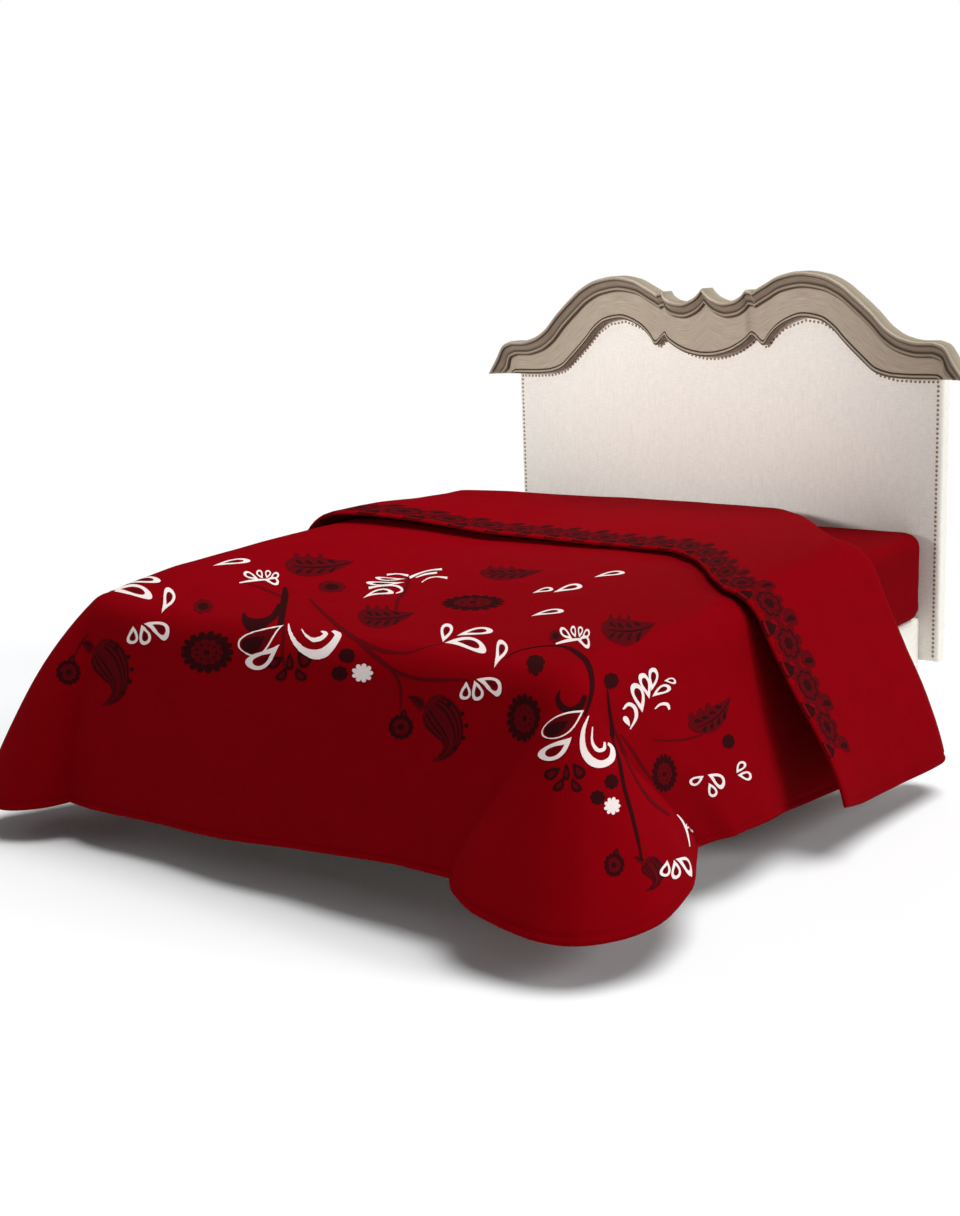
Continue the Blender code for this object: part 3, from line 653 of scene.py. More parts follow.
class StudioSettings(bpy.types.PropertyGroup):
    """What a user can change in the studio"""

    floor_colour: bpy.props.FloatVectorProperty(
        name="Floor", description="Pale colour of the floor", subtype="COLOR", size=3,
        default=linear("#ecedee"), min=0.0, max=1.0)
    floor_size: bpy.props.FloatProperty(
        name="Floor size", description="Side of the square floor", default=60.0, min=5.0,
        unit="LENGTH")
    camera_place: bpy.props.FloatVectorProperty(
        name="Camera", description="Place of the camera", subtype="XYZ", size=3,
        default=(2.701, -3.854, 1.528), unit="LENGTH")
    camera_turn: bpy.props.FloatVectorProperty(
        name="Camera turn", description="Pitch, roll and yaw of the camera", subtype="EULER",
        size=3, default=(radians(-12.21), radians(-2.23), radians(37.29)), unit="ROTATION")
    lens: bpy.props.FloatProperty(
        name="Lens", description="Focal length on a sensor 36 mm high", default=48.39, min=10.0)


# The lie of the cloth

def ease(value):
    value = min(max(value, 0.0), 1.0)
    return value * value * (3.0 - 2.0 * value)


def lerp(start, end, share):
    return start + (end - start) * share


def slope(rows, index, column):
    """The slope of one column at a row, flat where the column turns back."""
    if index in (0, len(rows) - 1):
        near = rows[1] if index == 0 else rows[-2]
        here = rows[index]
        return (near[column] - here[column]) / (near[0] - here[0])
    before, here, after = rows[index - 1], rows[index], rows[index + 1]
    rise_in = (here[column] - before[column]) / (here[0] - before[0])
    rise_out = (after[column] - here[column]) / (after[0] - here[0])
    if rise_in * rise_out <= 0.0:
        return 0.0
    return 2.0 * rise_in * rise_out / (rise_in + rise_out)


@lru_cache(maxsize=None)
def read_table(rows, place):
    """Every column of a table, on a smooth curve through its rows, at a place of the first."""
    place = min(max(place, rows[0][0]), rows[-1][0])
    last = len(rows) - 2
    index = next((i for i in range(last + 1) if place <= rows[i + 1][0]), last)
    here, after = rows[index], rows[index + 1]
    span = after[0] - here[0]
    t = (place - here[0]) / span
    values = [place]
    for column in range(1, len(here)):
        start, end = slope(rows, index, column) * span, slope(rows, index + 1, column) * span
        change = after[column] - here[column]
        bend = 3.0 * change - 2.0 * start - end
        turn = start + end - 2.0 * change
        values.append(here[column] + t * (start + t * (bend + t * turn)))
    return type(here)(*values)


def hang(edge, outward, hem, crest, share, fall=EDGE_FALL):
    """A point of the cloth between the bed's edge and the hem, at a share of the way down."""
    angle = fall * min(share / ARC_SHARE, 1.0)
    start = edge + outward * EDGE_RADIUS * sin(angle)
    start.z += crest - EDGE_RADIUS * (1.0 - cos(angle))
    if share <= ARC_SHARE:
        return start
    reach = (hem - start).length
    leave = (outward * cos(fall) - Vector((0.0, 0.0, sin(fall)))) * reach
    straight = hem - start
    arrive = straight.lerp(Vector((0.0, 0.0, -reach)), HEM_PLUMB)
    t = (share - ARC_SHARE) / (1.0 - ARC_SHARE)
    bend = 3.0 * straight - 2.0 * leave - arrive
    turn = leave + arrive - 2.0 * straight
    return start + t * (leave + t * (bend + t * turn))


def side_fold(side, along):
    return read_table(RIGHT_FOLDS if side > 0 else LEFT_FOLDS, along)


def crest_at(across, along):
    """How much the cloth on top is raised near the edges and toward the head."""
    right = side_fold(1, along).crest * ease(1.0 - (HALF_TOP - across) / CREST_WIDTH)
    left = side_fold(-1, along).crest * ease(1.0 - (HALF_TOP + across) / CREST_WIDTH)
    foot = read_table(FOOT_FOLDS, across).crest * ease(1.0 - (FOOT_TOP + along) / CREST_WIDTH)
    head = HEAD_RISE * ease((along - HEAD_RISE_START) / HEAD_RISE_LENGTH)
    return right + left + foot + head


def side_point(side, along, share):
    """A point of the cloth that hangs over a long side: side is 1 on the right, -1 on the left."""
    fold = side_fold(side, along)
    edge = Vector((side * HALF_TOP, along, QUILT_TOP))
    hem = Vector((side * (MATTRESS_WIDTH / 2 + fold.out), along + fold.slide, fold.height))
    crest = crest_at(side * HALF_TOP, along)
    return hang(edge, Vector((side, 0.0, 0.0)), hem, crest, share)


def foot_point(across, share):
    """A point of the cloth that hangs over the foot."""
    fold = read_table(FOOT_FOLDS, across)
    edge = Vector((across, -FOOT_TOP, QUILT_TOP))
    hem = Vector((across + fold.slide, -MATTRESS_LENGTH / 2 - fold.out, fold.height))
    return hang(edge, Vector((0.0, -1.0, 0.0)), hem, crest_at(across, -FOOT_TOP), share)


def corner_point(side, turn, share):
    """A point of the fan of cloth at a corner of the foot."""
    fold = read_table(RIGHT_CORNER if side > 0 else LEFT_CORNER, turn)
    edge = Vector((side * HALF_TOP, -FOOT_TOP, QUILT_TOP))
    angle = radians(turn)
    outward = Vector((side * sin(angle), -cos(angle), 0.0))
    hem = Vector((side * (MATTRESS_WIDTH / 2 + fold.across),
                  -MATTRESS_LENGTH / 2 - fold.beyond, fold.height))
    return hang(edge, outward, hem, crest_at(edge.x, edge.y), share, radians(fold.fall))


def lower_point(column, along):
    """A point of the lower layer. column runs from -2 at the left hem to 2 at the right hem."""
    if abs(column) > 1.0:
        return side_point(1 if column > 0.0 else -1, along, abs(column) - 1.0)
    across = column * HALF_TOP
    return Vector((across, along, QUILT_TOP + crest_at(across, along)))


@lru_cache(maxsize=None)
def fold_at(column):
    """How far toward the head a column reaches before it is folded back."""
    past_edge = max(abs(column) - 1.0, 0.0)
    out = min(abs(column), 1.0) * HALF_TOP + past_edge * FOLD_REACH_AT_HEM
    line = read_table(FOLD_LINE, out)
    return line.right if column > 0.0 else line.left


def frame_at(column, along):
    """The cloth's direction toward the head, and its outer normal."""
    ahead = lower_point(column, along) - lower_point(column, along - NORMAL_STEP)
    left, right = max(column - NORMAL_STEP, -2.0), min(column + NORMAL_STEP, 2.0)
    across = lower_point(right, along) - lower_point(left, along)
    toward_head = ahead.normalized()
    return toward_head, across.cross(ahead).normalized()


def roll_radius(column):
    return FOLD_ROLL + (FOLD_ROLL_AT_HEM - FOLD_ROLL) * ease(abs(column) - 1.0)


def roll_point(column, share):
    """A point of the rounded fold at the head, from the lower layer up to the turned-back one."""
    along = fold_at(column)
    toward_head, outer = frame_at(column, along)
    radius = roll_radius(column)
    angle = pi * share
    start = lower_point(column, along)
    return start + toward_head * radius * sin(angle) + outer * radius * (1.0 - cos(angle))


def flap_point(column, share):
    """A point of the turned-back layer, from the fold at 0 to its hem at 1."""
    along = fold_at(column) - FLAP_LENGTH * share
    toward_head, outer = frame_at(column, along)
    lift = FLAP_LIFT
    if column < 0.0:
        lift += (FLAP_LIFT_LEFT - FLAP_LIFT) * ease(-column)
    lift += (FLAP_LIFT_AT_HEM - lift) * ease(abs(column) - 1.0)
    start = 2.0 * roll_radius(column)
    height = start + (lift - start) * ease(share)
    return lower_point(column, along) + outer * height


# From the flat cloth to the bed

def strip_point(kind, side, place, share):
    """A point of one strip that runs down from the bed's edge to the hem."""
    if kind == "side":
        return side_point(side, place, share)
    if kind == "foot":
        return foot_point(place, share)
    return corner_point(side, place, share)


@lru_cache(maxsize=None)
def strip_lengths(kind, side, place):
    """How much cloth lies between the bed's edge and each step of one strip."""
    points = [strip_point(kind, side, place, step / PATH_STEPS) for step in range(PATH_STEPS + 1)]
    lengths = [0.0]
    for here, after in zip(points, points[1:]):
        lengths.append(lengths[-1] + (after - here).length)
    return tuple(lengths)


def share_on(kind, side, place, distance):
    """The share of the way down one strip at a distance from the bed's edge."""
    lengths = strip_lengths(kind, side, place)
    for step in range(PATH_STEPS):
        if distance <= lengths[step + 1]:
            part = (distance - lengths[step]) / (lengths[step + 1] - lengths[step])
            return (step + part) / PATH_STEPS
    return 1.0


def share_down(kind, side, place, distance):
    """The same share between the strips that are kept."""
    pitch = TURN_STATION if kind == "corner" else STATION
    low = floor(place / pitch)
    part = place / pitch - low
    return lerp(share_on(kind, side, low * pitch, distance),
                share_on(kind, side, (low + 1) * pitch, distance), part)


def cloth_point(across, along):
    """The point of the quilt's middle at which a place of the flat cloth comes to lie."""
    side = 1 if across > 0.0 else -1
    out, down = abs(across) - HALF_TOP, -FOOT_TOP - along
    if out <= 0.0 and down <= 0.0:
        return lower_point(across / HALF_TOP, along)
    if down <= 0.0:
        return side_point(side, along, share_down("side", side, along, out))
    if out <= 0.0:
        return foot_point(across, share_down("foot", 1, across, down))
    turn = degrees(atan2(out, down))
    return corner_point(side, turn, share_down("corner", side, turn, hypot(out, down)))


def turned_back_point(across, from_hem):
    """The point of the turned-back layer at a distance from that layer's hem."""
    column = across / HALF_TOP
    if abs(column) > 1.0:
        side = 1 if across > 0.0 else -1
        column = side * (1.0 + min((abs(across) - HALF_TOP) / DROP_LENGTH, 1.0))
    return flap_point(column, 1.0 - from_hem / FLAP_LENGTH)


# The quilt's one cut of cloth

def hem_shares(length):
    """Shares of a length that end with the close rows of points along its hem."""
    return [1.0 - row / length for row in HEM_ROWS] + [1.0]


def drop_shares():
    """Shares of the way down at which the hanging cloth has its points."""
    on_bend = [ARC_SHARE * step / ARC_STEPS for step in range(1, ARC_STEPS + 1)]
    last = 1.0 - HEM_BAND / DROP_LENGTH
    below = [lerp(ARC_SHARE, last, step / DROP_STEPS) for step in range(1, DROP_STEPS + 1)]
    return on_bend + below + hem_shares(DROP_LENGTH)


def flap_shares():
    last = 1.0 - HEM_BAND / FLAP_LENGTH
    return [last * step / ROWS_FLAP for step in range(1, ROWS_FLAP + 1)] + hem_shares(FLAP_LENGTH)


def column_places():
    drops = drop_shares()
    left = [-1.0 - share for share in reversed(drops)]
    middle = [-1.0 + 2.0 * step / COLUMNS_TOP for step in range(COLUMNS_TOP + 1)]
    return left + middle + [1.0 + share for share in drops]


def flat_across(column):
    """How far across the flat cloth a column lies."""
    side = 1 if column > 0.0 else -1
    past_edge = max(abs(column) - 1.0, 0.0)
    return side * (min(abs(column), 1.0) * HALF_TOP + past_edge * DROP_LENGTH)


class Sheet:
    """Points of the middle of the cloth, their places on the flat cut, and its faces."""

    def __init__(self):
        self.points, self.flats, self.hems, self.faces = [], [], [], []

    def add(self, point, flat, from_hem):
        self.points.append(point)
        self.flats.append(flat)
        self.hems.append(from_hem)
        return len(self.points) - 1


def from_side_hem(column):
    return (2.0 - abs(column)) * DROP_LENGTH if abs(column) > 1.0 else DROP_LENGTH


def add_layers(cloth, columns):
    """The lower layer, the rounded fold and the turned-back layer, row by row."""
    for row in range(ROWS_TOP + 1):
        for column in columns:
            along = lerp(-FOOT_TOP, fold_at(column), row / ROWS_TOP)
            cloth.add(lower_point(column, along), (flat_across(column), along),
                      from_side_hem(column))
    for row in range(1, ROWS_ROLL + 1):
        for column in columns:
            round_fold = pi * roll_radius(column) * row / ROWS_ROLL
            cloth.add(roll_point(column, row / ROWS_ROLL),
                      (flat_across(column), fold_at(column) + round_fold), from_side_hem(column))
    for share in flap_shares():
        for column in columns:
            along = fold_at(column) + pi * roll_radius(column) + FLAP_LENGTH * share
            cloth.add(flap_point(column, share), (flat_across(column), along),
                      min(from_side_hem(column), (1.0 - share) * FLAP_LENGTH))
    width = len(columns)
    for row in range(len(cloth.points) // width - 1):
        for column in range(width - 1):
            corner = row * width + column
            cloth.faces.append((corner, corner + 1, corner + 1 + width, corner + width))


def join_strips(faces, right, left):
    """Faces between two strips that run down from the bed's edge."""
    for step in range(len(right) - 1):
        loop = (right[step], left[step], left[step + 1], right[step + 1])
        faces.append(tuple(dict.fromkeys(loop)))


def fan_strips(cloth, side, shares, apex, side_strip):
    """The fan of cloth round one corner. Returns its last strip, where the foot begins."""
    previous = [apex] + list(side_strip)
    for row in range(ROWS_FAN - 1, -1, -1):
        turn = 90.0 * row / ROWS_FAN
        strip = [apex]
        for share in shares:
            down = share * lerp(FOOT_DROP_LENGTH, DROP_LENGTH, row / ROWS_FAN)
            flat = (side * (HALF_TOP + down * sin(radians(turn))),
                    -FOOT_TOP - down * cos(radians(turn)))
            strip.append(cloth.add(corner_point(side, turn, share), flat,
                                   (1.0 - share) * DROP_LENGTH))
        pair = (previous, strip) if side > 0 else (strip, previous)
        join_strips(cloth.faces, *pair)
        previous = strip
    return previous[1:]


def quilt_sheet():
    """The middle of the quilt's thickness, as one open sheet."""
    cloth = Sheet()
    columns = column_places()
    width = len(columns)
    add_layers(cloth, columns)
    shares = drop_shares()
    first_top = len(shares)
    last_top = first_top + COLUMNS_TOP
    corner_left = fan_strips(cloth, -1, shares, first_top, range(first_top - 1, -1, -1))
    corner_right = fan_strips(cloth, 1, shares, last_top, range(last_top + 1, width))
    previous = [first_top] + corner_left
    for column in range(first_top + 1, last_top):
        strip = [column]
        across = columns[column] * HALF_TOP
        for share in shares:
            strip.append(cloth.add(foot_point(across, share),
                                   (across, -FOOT_TOP - share * FOOT_DROP_LENGTH),
                                   (1.0 - share) * DROP_LENGTH))
        join_strips(cloth.faces, strip, previous)
        previous = strip
    join_strips(cloth.faces, [last_top] + corner_right, previous)
    return cloth


def ripple(flat, length):
    """A soft unevenness from 0 to 1 at a place of the flat cloth."""
    place = Vector(flat) / length
    broad = noise.noise(Vector((*place, RIPPLE_LEVELS[0])))
    fine = noise.noise(Vector((*(RIPPLE_FINER * place), RIPPLE_LEVELS[1])))
    return min(max(0.5 + RIPPLE_BROAD * broad + RIPPLE_FINE * fine, 0.0), 1.0)


def raise_ripples(mesh, flats, height, length):
    """Lifts the cloth off the bed by soft ripples, along its own normals."""
    shape = bmesh.new()
    shape.from_mesh(mesh)
    shape.normal_update()
    for vert, flat in zip(shape.verts, flats):
        vert.co += vert.normal * height * ripple(flat, length)
    shape.to_mesh(mesh)
    shape.free()


def link_object(name, mesh):
    item = bpy.data.objects.new(name, mesh)
    bpy.context.scene.collection.objects.link(item)
    return item


def select_only(item):
    bpy.ops.object.select_all(action="DESELECT")
    item.select_set(True)
    bpy.context.view_layer.objects.active = item


def apply_modifiers(item):
    select_only(item)
    for modifier in list(item.modifiers):
        bpy.ops.object.modifier_apply(modifier=modifier.name)


def give_flat_map(mesh, name, flats):
    """A UV map in metres of the flat piece."""
    layer = mesh.uv_layers.new(name=name)
    for loop in mesh.loops:
        layer.data[loop.index].uv = flats[loop.vertex_index]


def hem_weight(from_hem):
    """How much of its wadding the cloth has near its hem: less at the edge and in the seam."""
    if from_hem < HEM_ROWS[-1]:
        return lerp(HEM_THIN, HEM_FULL, from_hem / HEM_ROWS[-1])
    return SEAM_THIN if abs(from_hem - HEM_SEAM) < SEAM_REACH else 1.0


# Drawing the print

# The drawing functions give sizes and places in drawn steps, and flowers by radius, petals and
# depth of the petals.

def drop_spot(drop, share, aside):
    """A spot of a drop, at a share of the way from its tip to its head and aside of its line."""
    tip, head = Vector((drop.tip_x, drop.tip_y)), Vector((drop.head_x, drop.head_y))
    axis = head - tip
    left = Vector((-axis.y, axis.x)).normalized()
    bow = drop.lean * axis.length * 4.0 * share * (1.0 - share)
    return tip + axis * share + left * (bow + aside)


def drop_ring(drop, start=0.0, end=1.0, width_share=1.0):
    """The outline of a drop, or of a smaller one inside it."""
    ring = []
    for index in range(DROP_POINTS):
        angle = 2.0 * pi * index / DROP_POINTS
        share = lerp(start, end, (1.0 - cos(angle)) / 2.0)
        reach = abs(sin(angle / 2.0)) ** DROP_BLUNT * sin(angle) / DROP_WIDEST
        ring.append(drop_spot(drop, share, reach * width_share * drop.width / 2.0))
    return ring


def smooth_line(rows, steps):
    """Points between a line's rows, on a smooth curve through them."""
    line = []
    for index in range(len(rows) - 1):
        before, here = rows[max(index - 1, 0)], rows[index]
        after, beyond = rows[index + 1], rows[min(index + 2, len(rows) - 1)]
        for step in range(steps):
            t = step / steps
            line.append([
                0.5 * (2.0 * b + t * (c - a) + t * t * (2.0 * a - 5.0 * b + 4.0 * c - d)
                       + t * t * t * (3.0 * b - a - 3.0 * c + d))
                for a, b, c, d in zip(before, here, after, beyond)])
    line.append(list(rows[-1]))
    return line


def stroke_ring(rows, steps=5):
    """The outline of a stroke with a width at each row."""
    line = smooth_line(rows, steps)
    left, right = [], []
    for index, (x, y, width) in enumerate(line):
        before, after = line[max(index - 1, 0)], line[min(index + 1, len(line) - 1)]
        ahead = Vector((after[0] - before[0], after[1] - before[1])).normalized()
        side = Vector((-ahead.y, ahead.x)) * width / 2.0
        left.append(Vector((x, y)) + side)
        right.append(Vector((x, y)) - side)
    return left + right[::-1]


def flower_ring(radius, petals, depth, sharpness=0.6, points=8):
    """The outline of a flower with round petals."""
    count = petals * points
    ring = []
    for index in range(count):
        angle = 2.0 * pi * index / count
        reach = 1.0 - depth + depth * abs(cos(petals * angle / 2.0)) ** sharpness
        ring.append(Vector((cos(angle), sin(angle))) * radius * reach)
    return ring


def disc_ring(radius, points=18, x=0.0, y=0.0):
    return [Vector((x + radius * cos(2.0 * pi * index / points),
                    y + radius * sin(2.0 * pi * index / points))) for index in range(points)]


def narrowed(rows, share, start=0, end=0):
    """The same stroke with its widths cut to a share, and without some rows at either end."""
    kept = rows[start:len(rows) - end]
    return [Bend(row.x, row.y, row.width * share) for row in kept]


def draw_paisley():
    """A large comma with a hooked tail, bands along its inside and a small leaf at its head."""
    shapes = [("burgundy", [stroke_ring(PAISLEY)])]
    for outer, inner in PAISLEY_BANDS:
        shapes.append(("charcoal", [stroke_ring(narrowed(PAISLEY, outer, 1, 1)),
                                    stroke_ring(narrowed(PAISLEY, inner, 1, 1))]))
    for row in PAISLEY[1:-2]:
        shapes.append(("charcoal", [disc_ring(2.2, 8, row.x + row.width * 0.56, row.y + 2.0)]))
    shapes += draw_leaf(Drop(-30, 30, -13, 19, 10, 0.1))
    return shapes


def draw_dark_daisy():
    """A round flower: a dark ring of thin petals about a mottled disc."""
    shapes = [("charcoal", [flower_ring(10.6, 17, 0.22, 0.6, 6), flower_ring(6.4, 11, 0.12)]),
              ("burgundy", [disc_ring(5.9, 18), disc_ring(2.0, 8)]),
              ("charcoal", [disc_ring(1.5, 8)])]
    for index in range(9):
        angle = 2.0 * pi * index / 9
        shapes.append(("charcoal", [disc_ring(0.62, 6, 3.9 * cos(angle), 3.9 * sin(angle))]))
    return shapes


def draw_border_flower():
    """A wide maroon flower that nearly touches its neighbours, as along the hem."""
    return [("burgundy", [flower_ring(19.0, 8, 0.30, 0.8)]),
            ("charcoal", [flower_ring(13.2, 8, 0.24), flower_ring(11.4, 8, 0.24)]),
            ("charcoal", [flower_ring(5.5, 6, 0.3, 0.6, 6)])]


def draw_border_leaves():
    """Round leaves on both sides of the line of flowers."""
    return [("burgundy", [drop_ring(Drop(0, 4, 2, 25, 15, 0.1))]),
            ("charcoal", [drop_ring(Drop(1, 8, 2, 22, 5, 0.1))]),
            ("charcoal", [drop_ring(Drop(1, -5, -3, -25, 14, 0.1))])]


def draw_bud():
    """A round bud: a scalloped dark rim about a maroon heart."""
    return [("charcoal", [flower_ring(12.6, 13, 0.14, 0.6, 6), flower_ring(8.4, 9, 0.14, 0.6, 6)]),
            ("burgundy", [disc_ring(7.4, 16)]),
            ("charcoal", [disc_ring(3.2, 9)])]


def draw_outlined_drop():
    """A white outline round a burgundy drop with a charcoal heart."""
    drop = Drop(21, 17, -21, -10, 22, 0.10)
    return [("white", [drop_ring(drop), drop_ring(drop, 0.08, 0.97, 0.88)]),
            ("burgundy", [drop_ring(drop, 0.16, 0.95, 0.78)]),
            ("charcoal", [drop_ring(drop, 0.42, 0.93, 0.62)])]


def draw_leaf(leaf):
    """A dark leaf with lobes on one edge, a middle vein and small leaves between its veins."""
    vein = [Bend(*drop_spot(leaf, share, 0.04 * leaf.width), width) for share, width in LEAF_VEIN]
    shapes = [("burgundy", [drop_ring(leaf)]), ("charcoal", [stroke_ring(vein)])]
    for share in LEAF_SMALL_VEINS:
        for aside, reach in ((0.10, 0.34), (-0.10, -0.28)):
            small = Drop(*drop_spot(leaf, share - 0.07, aside * leaf.width),
                         *drop_spot(leaf, share + 0.05, reach * leaf.width),
                         0.15 * leaf.width, 0.0)
            shapes.append(("charcoal", [drop_ring(small)]))
    for share in LEAF_LOBES:
        lobe = Drop(*drop_spot(leaf, share, -0.40 * leaf.width),
                    *drop_spot(leaf, share + 0.08, -0.60 * leaf.width), 0.30 * leaf.width, 0.0)
        shapes.append(("burgundy", [drop_ring(lobe)]))
    return shapes


@lru_cache(maxsize=None)
def draw_motif(motif):
    """Every printed shape of a motif, with its ink and its rings, outer ring first."""
    special = {
        "dot": [("burgundy", [flower_ring(9.5, 7, 0.16)]),
                ("charcoal", [flower_ring(5.0, 7, 0.2)])],
        "dark_dot": [("charcoal", [flower_ring(10.5, 8, 0.15)])],
        "dark_daisy": draw_dark_daisy(),
        "white_daisy": [("white", [flower_ring(10.0, 9, 0.34)])],
        "dark_leaf": draw_leaf(Drop(34, 3, -30, 0, 17, 0.06)),
        "border_flower": draw_border_flower(),
        "border_leaves": draw_border_leaves(),
        "paisley": draw_paisley(),
        "bud": draw_bud(),
        "outlined_drop": draw_outlined_drop(),
        "side_paisley": draw_leaf(Drop(22, 24, -19, -8, 24, 0.12)),
    }
    shapes = list(special.get(motif, ()))
    for drop in HOLLOW_DROPS.get(motif, ()):
        shapes.append(("white", [drop_ring(drop), drop_ring(drop, *HOLE)]))
        shapes.append(("burgundy", [drop_ring(drop, *CORE)]))
    for drop in WHITE_DROPS.get(motif, ()):
        shapes.append(("white", [drop_ring(drop)]))
    for drop in CHARCOAL_DROPS.get(motif, ()):
        shapes.append(("charcoal", [drop_ring(drop), drop_ring(drop, *HOLE)]))
        shapes.append(("burgundy", [drop_ring(drop, *HOLE)]))
    for ink, strokes in (("white", WHITE_STROKES), ("charcoal", CHARCOAL_STROKES)):
        shapes += [(ink, [stroke_ring(rows)]) for rows in strokes.get(motif, ())]
    return shapes


def laid(ring, place):
    """A drawn ring on the flat cloth, without points that lie too close together."""
    flat = []
    for point in ring:
        spot = Vector((place.across, place.along))
        spot += Vector((place.right_x, place.right_y)) * point.x * DRAWN_STEP
        spot += Vector((place.up_x, place.up_y)) * point.y * DRAWN_STEP
        if not flat or (spot - flat[-1]).length > RING_LEAST:
            flat.append(spot)
    while len(flat) > 3 and (flat[0] - flat[-1]).length <= RING_LEAST:
        flat.pop()
    return flat


def split_long(ring):
    """The ring with points no further apart than the cloth needs to bend it."""
    result = []
    for here, after in zip(ring, ring[1:] + ring[:1]):
        parts = max(ceil((after - here).length / RING_STEP), 1)
        result += [here.lerp(after, part / parts) for part in range(parts)]
    return result


def inside(spot, rings):
    crossings = 0
    for ring in rings:
        for here, after in zip(ring, ring[1:] + ring[:1]):
            if (here.y > spot.y) != (after.y > spot.y):
                reach = (spot.y - here.y) / (after.y - here.y)
                crossings += spot.x < here.x + reach * (after.x - here.x)
    return crossings % 2 == 1


def filled(rings):
    """Triangles that fill a flat shape, with points inside it where it is wide."""
    rings = [split_long(ring) for ring in rings]
    spots = [spot for ring in rings for spot in ring]
    edges, first = [], 0
    for ring in rings:
        count = len(ring)
        edges += [(first + index, first + (index + 1) % count) for index in range(count)]
        first += count
    low_x, high_x = min(s.x for s in spots), max(s.x for s in spots)
    low_y, high_y = min(s.y for s in spots), max(s.y for s in spots)
    border = list(spots)
    for row in range(1, ceil((high_y - low_y) / FILL_STEP)):
        for step in range(1, ceil((high_x - low_x) / FILL_STEP)):
            spot = Vector((low_x + (step - 0.5 * (row % 2)) * FILL_STEP, low_y + row * FILL_STEP))
            if inside(spot, rings) and all((spot - s).length > 0.5 * FILL_STEP for s in border):
                spots.append(spot)
    points, _, faces, *_ = delaunay_2d_cdt(spots, edges, [], 1, SAME_SPOT)
    middle = Vector((0.0, 0.0))
    kept = [face for face in faces
            if inside(sum((points[index] for index in face), middle) / len(face), rings)]
    return points, kept


def mirrored(place):
    return place._replace(across=-place.across, right_x=-place.right_x, up_x=-place.up_x)


def border_places():
    """Flowers and leaves in turn along the hem of the turned-back layer."""
    count = floor((BORDER_END - BORDER_START) / BORDER_PITCH)
    return [Place(BORDER_MOTIFS[index % len(BORDER_MOTIFS)], BORDER_START + index * BORDER_PITCH,
                  BORDER_UP, BORDER_SIZE, 0.0, 0.0, BORDER_SIZE * BORDER_DEPTH)
            for index in range(count + 1)]


class Ink:
    """The printed shapes of one colour, gathered into one mesh."""

    def __init__(self):
        self.points, self.faces = [], []

    def print_shape(self, rings, to_cloth, surface, lift):
        spots, faces = filled(rings)
        first, used = len(self.points), {}
        for face in faces:
            for index in face:
                if index not in used:
                    used[index] = first + len(used)
                    near, normal, *_ = surface.find_nearest(to_cloth(*spots[index]))
                    self.points.append(near + normal * lift)
            self.faces.append([used[index] for index in face])

    def piece(self, name, thickness):
        """The ink as thin closed shapes that lie on the cloth."""
        mesh = bpy.data.meshes.new(name)
        mesh.from_pydata(self.points, [], self.faces)
        shape = bmesh.new()
        shape.from_mesh(mesh)
        bmesh.ops.dissolve_degenerate(shape, dist=WELD, edges=shape.edges)
        shape.to_mesh(mesh)
        shape.free()
        mesh.shade_smooth()
        item = link_object(name, mesh)
        body = item.modifiers.new("ink", "SOLIDIFY")
        body.thickness = thickness
        body.offset = -1.0
        apply_modifiers(item)
        bpy.ops.object.shade_smooth_by_angle(angle=INK_SMOOTHING)
        return item


def printed_sides(quilt):
    """Search trees of the quilt's printed face: of the lower layer, and of the turned-back one."""
    mesh, sheet_faces = quilt.data, quilt["sheet_faces"]
    width = len(column_places()) - 1
    fold_start = width * ROWS_TOP
    flap_start = fold_start + width * ROWS_ROLL
    flap_end = flap_start + width * len(flap_shares())
    points = [vert.co.copy() for vert in mesh.vertices]
    lower = [*range(fold_start), *range(flap_end, sheet_faces)]
    turned = range(sheet_faces + flap_start, sheet_faces + flap_end)
    return [BVHTree.FromPolygons(points, [tuple(mesh.polygons[index].vertices)
                                          for index in chosen]) for chosen in (lower, turned)]


# Materials

# Sizes of what the finishes show. Threads of 1.1 mm, nap of 2 mm, yarns of 0.8 mm and pores of
# 1.9 mm are too fine to show, so they are drawn about three times as coarse as they are.
COTTON_THREAD = 0.0033
COTTON_NAP = 0.00625
COTTON_MOTTLE = 0.0909
LINEN_YARN = 0.00238
LINEN_SLUB = 0.025
GRAIN_WIDTH = 0.0025
GRAIN_LENGTH = 0.0714
BEECH_PORE = 0.00556
BEECH_GRAIN = 0.0833
PATINA_SPOT = 0.00333
PAPER_CLOUD = 0.5
# The colour sockets of a Mix node, by number: its two inputs and its result.
FIRST = 6
SECOND = 7
RESULT = 2


def node(tree, kind, settings=None, links=None):
    """Adds a node with its settings and its inputs, which are values or other nodes' outputs."""
    made = tree.nodes.new(kind)
    for key, value in (settings or {}).items():
        setattr(made, key, value)
    for key, value in (links or {}).items():
        if isinstance(value, bpy.types.NodeSocket):
            tree.links.new(value, made.inputs[key])
        else:
            made.inputs[key].default_value = value
    return made


def new_material(name, shader):
    """A material with one surface shader, whose unlinked sockets are set here."""
    material = bpy.data.materials.new(name)
    material.use_nodes = True
    tree = material.node_tree
    tree.nodes.clear()
    surface = node(tree, "ShaderNodeBsdfPrincipled", links=shader)
    node(tree, "ShaderNodeOutputMaterial", links={"Surface": surface.outputs["BSDF"]})
    return tree, surface, material


def colour(rgb):
    return (*rgb, 1.0)


def shaded(rgb, share):
    return tuple(channel * share for channel in rgb)


